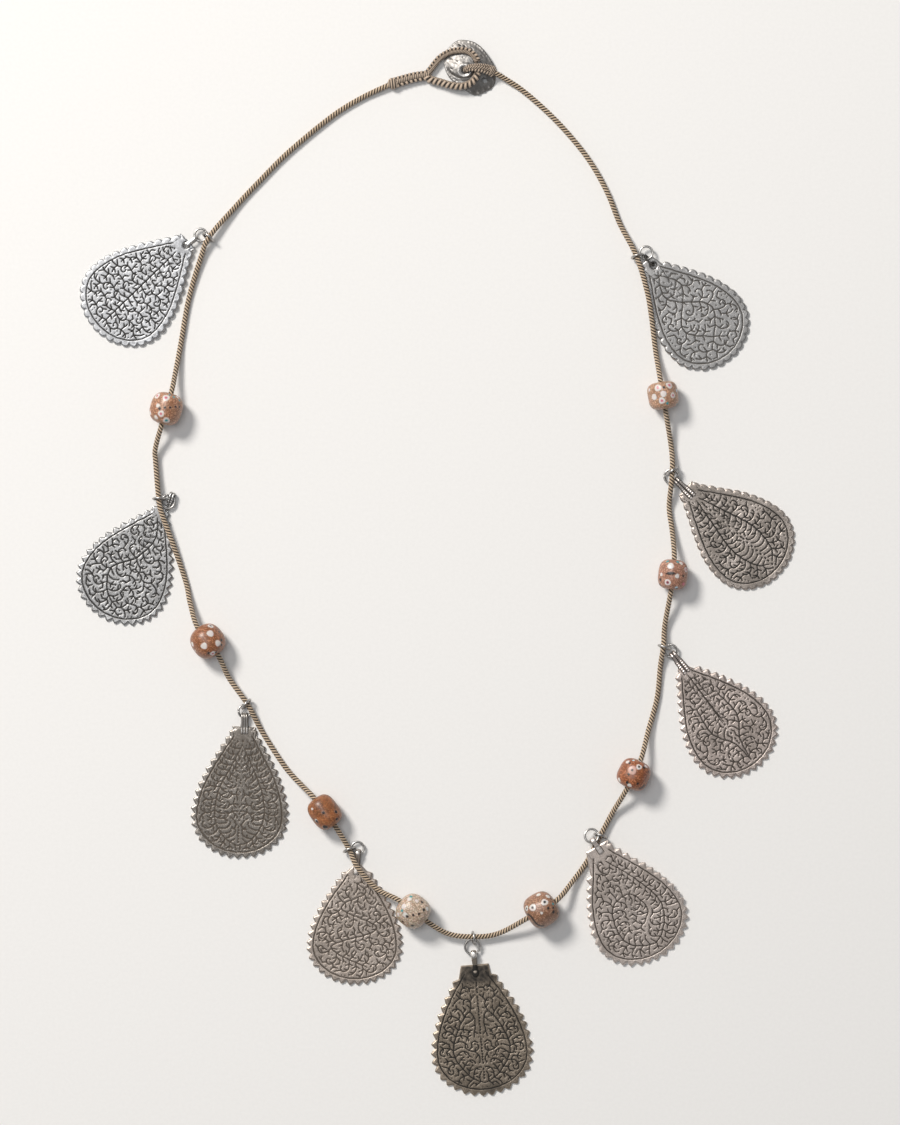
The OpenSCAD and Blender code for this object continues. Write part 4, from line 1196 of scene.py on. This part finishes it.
def buttonMesh():
    s = button
    flat, drop, around, hole = buttonFlat()
    x, y = flat[..., 0], flat[..., 1]
    toHole = np.linalg.norm(flat - hole, axis=2)
    toEdge = np.min(np.linalg.norm(flat[:, :, None] - around[None, None, ::4], axis=3), axis=2)
    # the dome, with a raised hem round the hole and along the rim, and the unevenness of beaten metal
    away = np.hypot(x - s["at"][0], y - s["at"][1])
    z = s["domeH"] - s["domeR"] + np.sqrt(s["domeR"] ** 2 - away ** 2)
    z = z + s["hemHigh"] * bell(toHole - 2.0, 0.8) + s["rimHigh"] * bell(toEdge - 0.35, 0.3)
    z = z + 0.05 * slowNoise(x, y, 0.9, 1.0) + 0.03 * slowNoise(y, x, 0.45, 4.0)
    # the engraved arc below the hole, and the ripple beyond it
    arcX, arcY, arcR = s["arc"]
    toArc = np.hypot(x - arcX, y - arcY) - arcR
    arc = clamped(arcY - 1.5 - y) * bell(toArc, 0.3)
    ripple = clamped((162.5 - y) / 2) * bell(toArc - 1.5, 0.5)
    z = z - s["arcDeep"] * arc + s["rippleHigh"] * ripple
    dents = np.zeros_like(x)
    for i, (dx, dy, much) in enumerate(s["dents"]):
        spot = ((x - dx) * (1.2 + 0.3 * (i % 3))) ** 2 + ((y - dy + 0.5 * (x - dx)) * 2.8) ** 2
        dents = np.maximum(dents, much * np.exp(-spot / 0.45))
    z = z - s["dentDeep"] * dents
    # the bent rim at the lower right
    bent = clamped((x + 160.5 - y - 11.5) / 6) * clamped(1.6 - toEdge)
    z = np.maximum(z + s["bentHigh"] * bent * np.sin(2.6 * x + 1.4 * y), s["lowest"])
    # darker towards the right and the top
    right = 0.06 * clamped((x - 12.5) / 4) + 0.08 * clamped((y - 170.5) / 3)
    fine = clamped(slowNoise(x, y, 0.35, 3.0)) * clamped((toHole - 2.5) / 2)
    groove = np.clip(0.5 * arc + 0.75 * dents + right + 0.25 * fine, 0, 0.92)
    groove = groove * np.clip(toEdge / 0.4, 0.1, 1)
    # brighter metal round the hole, wear and a painted highlight, and a painted highlight along the left
    # rim, the side that faces the light
    wearAndHighlight = np.maximum(0.8 * clamped(1.5 - toHole / 2.2), clamped(1 - toEdge / 0.5) * (x < 9))
    upper = np.dstack([flat, z])
    under = np.dstack([flat, np.maximum(z - s["thick"], 0.03)])[::-1]
    points = np.concatenate([upper, under, upper[:1]])
    # the underside is painted darker, as shade
    groove = np.concatenate([groove, 0.6 + 0 * groove, groove[:1]])
    wearAndHighlight = np.concatenate([wearAndHighlight, 0 * wearAndHighlight, wearAndHighlight[:1]])
    drop = np.concatenate([drop, drop[::-1], drop[:1]])
    return gridMesh("button", points, {"groove": groove, "wearAndHighlight": wearAndHighlight, "stain": 0 * wearAndHighlight}, closedU=True,
                    closedV=True, inside=drop)


# the crease colour of the knots is painted shade between their ribs
knotSettings = {"light": (0.55, 0.43, 0.325), "shade": (0.36, 0.27, 0.195), "creaseShade": (0.022, 0.014, 0.009),
                "step": 0.1, "sides": 16, "clear": 0.02}
neckRoute = [(-15.1, 161.2, 1.6), (-11, 162.5, 1.6), (-7, 163.6, 1.6), (-3.3, 164.2, 1.6),
             (-1.6, 164.6, 1.6)]
knotRoute = [(-15.7, 160.95, 1.6), (-14, 161.5, 1.65), (-12.2, 162.1, 1.6)]
thinRoute = [(-3, 164.3, 1.7), (-1.2, 166.5, 1.7), (1.5, 169.8, 1.9), (5, 171.9, 2.3), (8.3, 172.4, 2.9),
             (11, 172, 3.1), (13, 170.6, 3.4), (14.3, 168.4, 3.5)]
thickRoute = [(-3, 164.3, 1.6), (-1.4, 162.8, 1.6), (1.7, 161.9, 1.9), (5, 160.9, 2.3), (8.3, 160.4, 2.7),
              (11, 161, 3), (13, 162.4, 3.3), (14.2, 165, 3.5), (14.3, 168, 3.5)]
shankRoute = [(10.0, 165.75, 0.7), (10.02, 165.77, 2.6), (10.5, 166.05, 4.0), (11.9, 166.45, 4.9),
              (15.2, 166.4, 4.9), (18, 165.8, 3.8), (19.7, 165.2, 2.8)]
collarRoute = [(17.6, 166.0, 3.9), (18.8, 165.6, 3.3), (20.3, 164.9, 2.6)]


def strand(route, offset, lift, radius, pitch, depth, lean, flat=1.0):
    # one strand of knotted thread beside a route, with ribs across it; offset and radius are given for
    # both ends, flat makes it lower than wide
    s = knotSettings
    path = smoothRoute(route, s["step"])
    across, above = routeFrames(path)[1:]
    run = runningLength(path)
    offset, radius = (np.interp(run / run[-1], [0, 1], pair) for pair in (offset, radius))
    core = path + offset[:, None] * across + lift * above
    a = aroundTurn(s["sides"])[None, :]
    crest = np.abs(np.sin(np.pi * (run[:, None] / pitch + lean * np.cos(a)))) ** 0.6
    ends = clamped(np.minimum(run, run[-1] - run) / radius + 0.02)   # rounded off at both ends
    size = (radius * np.sqrt(1 - (1 - ends) ** 2))[:, None] * (1 - depth * (1 - crest))
    points = core[:, None] + size[..., None] * (np.cos(a)[..., None] * across[:, None]
                                                + flat * np.sin(a)[..., None] * above[:, None])
    points[..., 2] = np.maximum(points[..., 2], s["clear"])
    # the creases between the ribs get painted shade
    return gridMesh("strand", points, {"groove": clamped(1.4 * (1 - crest))}, closedU=True, caps=True)


def makeClasp():
    addPiece("silver_button", buttonMesh(), silverMaterial("buttonSilver", button), "clasp_silver",
             "clasp_button")
    thread = cordMaterial("knotThread", knotSettings)
    parts = [   # neck: fine middle, an edge of gaps above, an edge of bumps below, and its whipped end
        strand(neckRoute, (0, 0), 0.35, (0.85, 0.8), 0.62, 0.14, 0.3),
        strand(neckRoute, (-1.1, -0.95), 0.1, (0.74, 0.7), 1.3, 0.42, 0.1),
        strand(neckRoute, (1.15, 1.0), 0.0, (0.74, 0.7), 1.6, 0.46, -0.1),
        strand(knotRoute, (0, 0), 0.0, (2.15, 2.0), 0.85, 0.2, 0.45, 0.72),
        # thin arm: smooth cord inside, bumps outside
        strand(thinRoute, (0.35, 0.4), 0.0, (0.72, 0.66), 0.5, 0.14, 0.55),
        strand(thinRoute, (-0.62, -0.6), 0.05, (0.6, 0.56), 1.22, 0.5, 0.1),
        # thick arm: bold ribs, and a thin cord inside
        strand(thickRoute, (0.2, 0.1), 0.05, (1.22, 0.95), 1.5, 0.4, 0.22),
        strand(thickRoute, (-0.9, -0.75), -0.1, (0.5, 0.45), 0.5, 0.14, 0.5)]
    addPiece("knotted_loop", joined("knotted_loop", parts), thread, "cord_twist", "clasp_loop")
    parts = [   # shank: three rows of stitches that spread towards the cord, and their collar
        strand(shankRoute, (-0.35, -1.3), 0.0, (0.4, 0.62), 0.55, 0.22, 0.3),
        strand(shankRoute, (0, 0), 0.25, (0.45, 0.72), 0.8, 0.3, 0.6),
        strand(shankRoute, (0.35, 1.3), 0.0, (0.4, 0.66), 1.05, 0.42, 0.15),
        strand(collarRoute, (0, 0), 0.0, (1.9, 1.2), 0.6, 0.18, 0.3, 0.75)]
    addPiece("stitched_shank", joined("stitched_shank", parts), thread, "cord_twist", "clasp_shank")


makeClasp()
print("clasp made")


# floor and soft light from the upper left

studio = {
    "floor": (0.80, 0.785, 0.765), "floorHalf": 6, "floorDrop": 0.03,
    "worldTone": (0.95, 0.97, 1.0), "worldPower": 0.2, "horizonPower": 0.62,
    "key": {"at": (-1000, 1100, 1500), "size": 560, "power": 44.0, "tone": (1.0, 0.97, 0.93)},
    "top": {"at": (-450, 380, 2600), "size": 1200, "power": 16.0, "tone": (0.95, 0.97, 1.0)}}


def makeStudio():
    bm = bmesh.new()
    bmesh.ops.create_grid(bm, x_segments=1, y_segments=1, size=studio["floorHalf"])
    mesh = bpy.data.meshes.new("floor")
    bm.to_mesh(mesh)
    bm.free()
    floor = bpy.data.objects.new("floor", mesh)
    floor.location.z = -studio["floorDrop"] * mm
    scene.collection.objects.link(floor)
    material, tree, shader, coords = startMaterial("paleFloor")
    tone = studio["floor"]
    darker = tuple(c * 0.94 for c in tone)
    paper = mixColour(tree, noise(tree, coords, 900.0, 3.0), tone, darker)
    setInputs(tree, shader, {"Base Color": paper, "Roughness": 0.9})
    mesh.materials.append(material)
    for key in ("key", "top"):
        s = studio[key]
        lamp = bpy.data.lights.new(key + "Light", "AREA")
        lamp.shape = "DISK"
        lamp.size = s["size"] * mm
        lamp.energy = s["power"]
        lamp.color = s["tone"]
        light = bpy.data.objects.new(key + "Light", lamp)
        light.location = Vector(s["at"]) * mm
        light.rotation_euler = (-light.location).to_track_quat("-Z", "Y").to_euler()
        scene.collection.objects.link(light)
    world = bpy.data.worlds.new("studio")
    world.use_nodes = True
    back = world.node_tree.nodes["Background"]
    back.inputs["Color"].default_value = (*studio["worldTone"], 1)
    outward = addNode(world.node_tree, "ShaderNodeTexCoord").outputs["Generated"]
    height = addNode(world.node_tree, "ShaderNodeSeparateXYZ", {"Vector": outward}).outputs["Z"]
    power = ramp(world.node_tree, height, [(0.15, studio["horizonPower"]), (0.55, studio["worldPower"])])
    world.node_tree.links.new(power, back.inputs["Strength"])
    scene.world = world
    scene.view_settings.view_transform = "Standard"


makeStudio()
print("floor and light set")
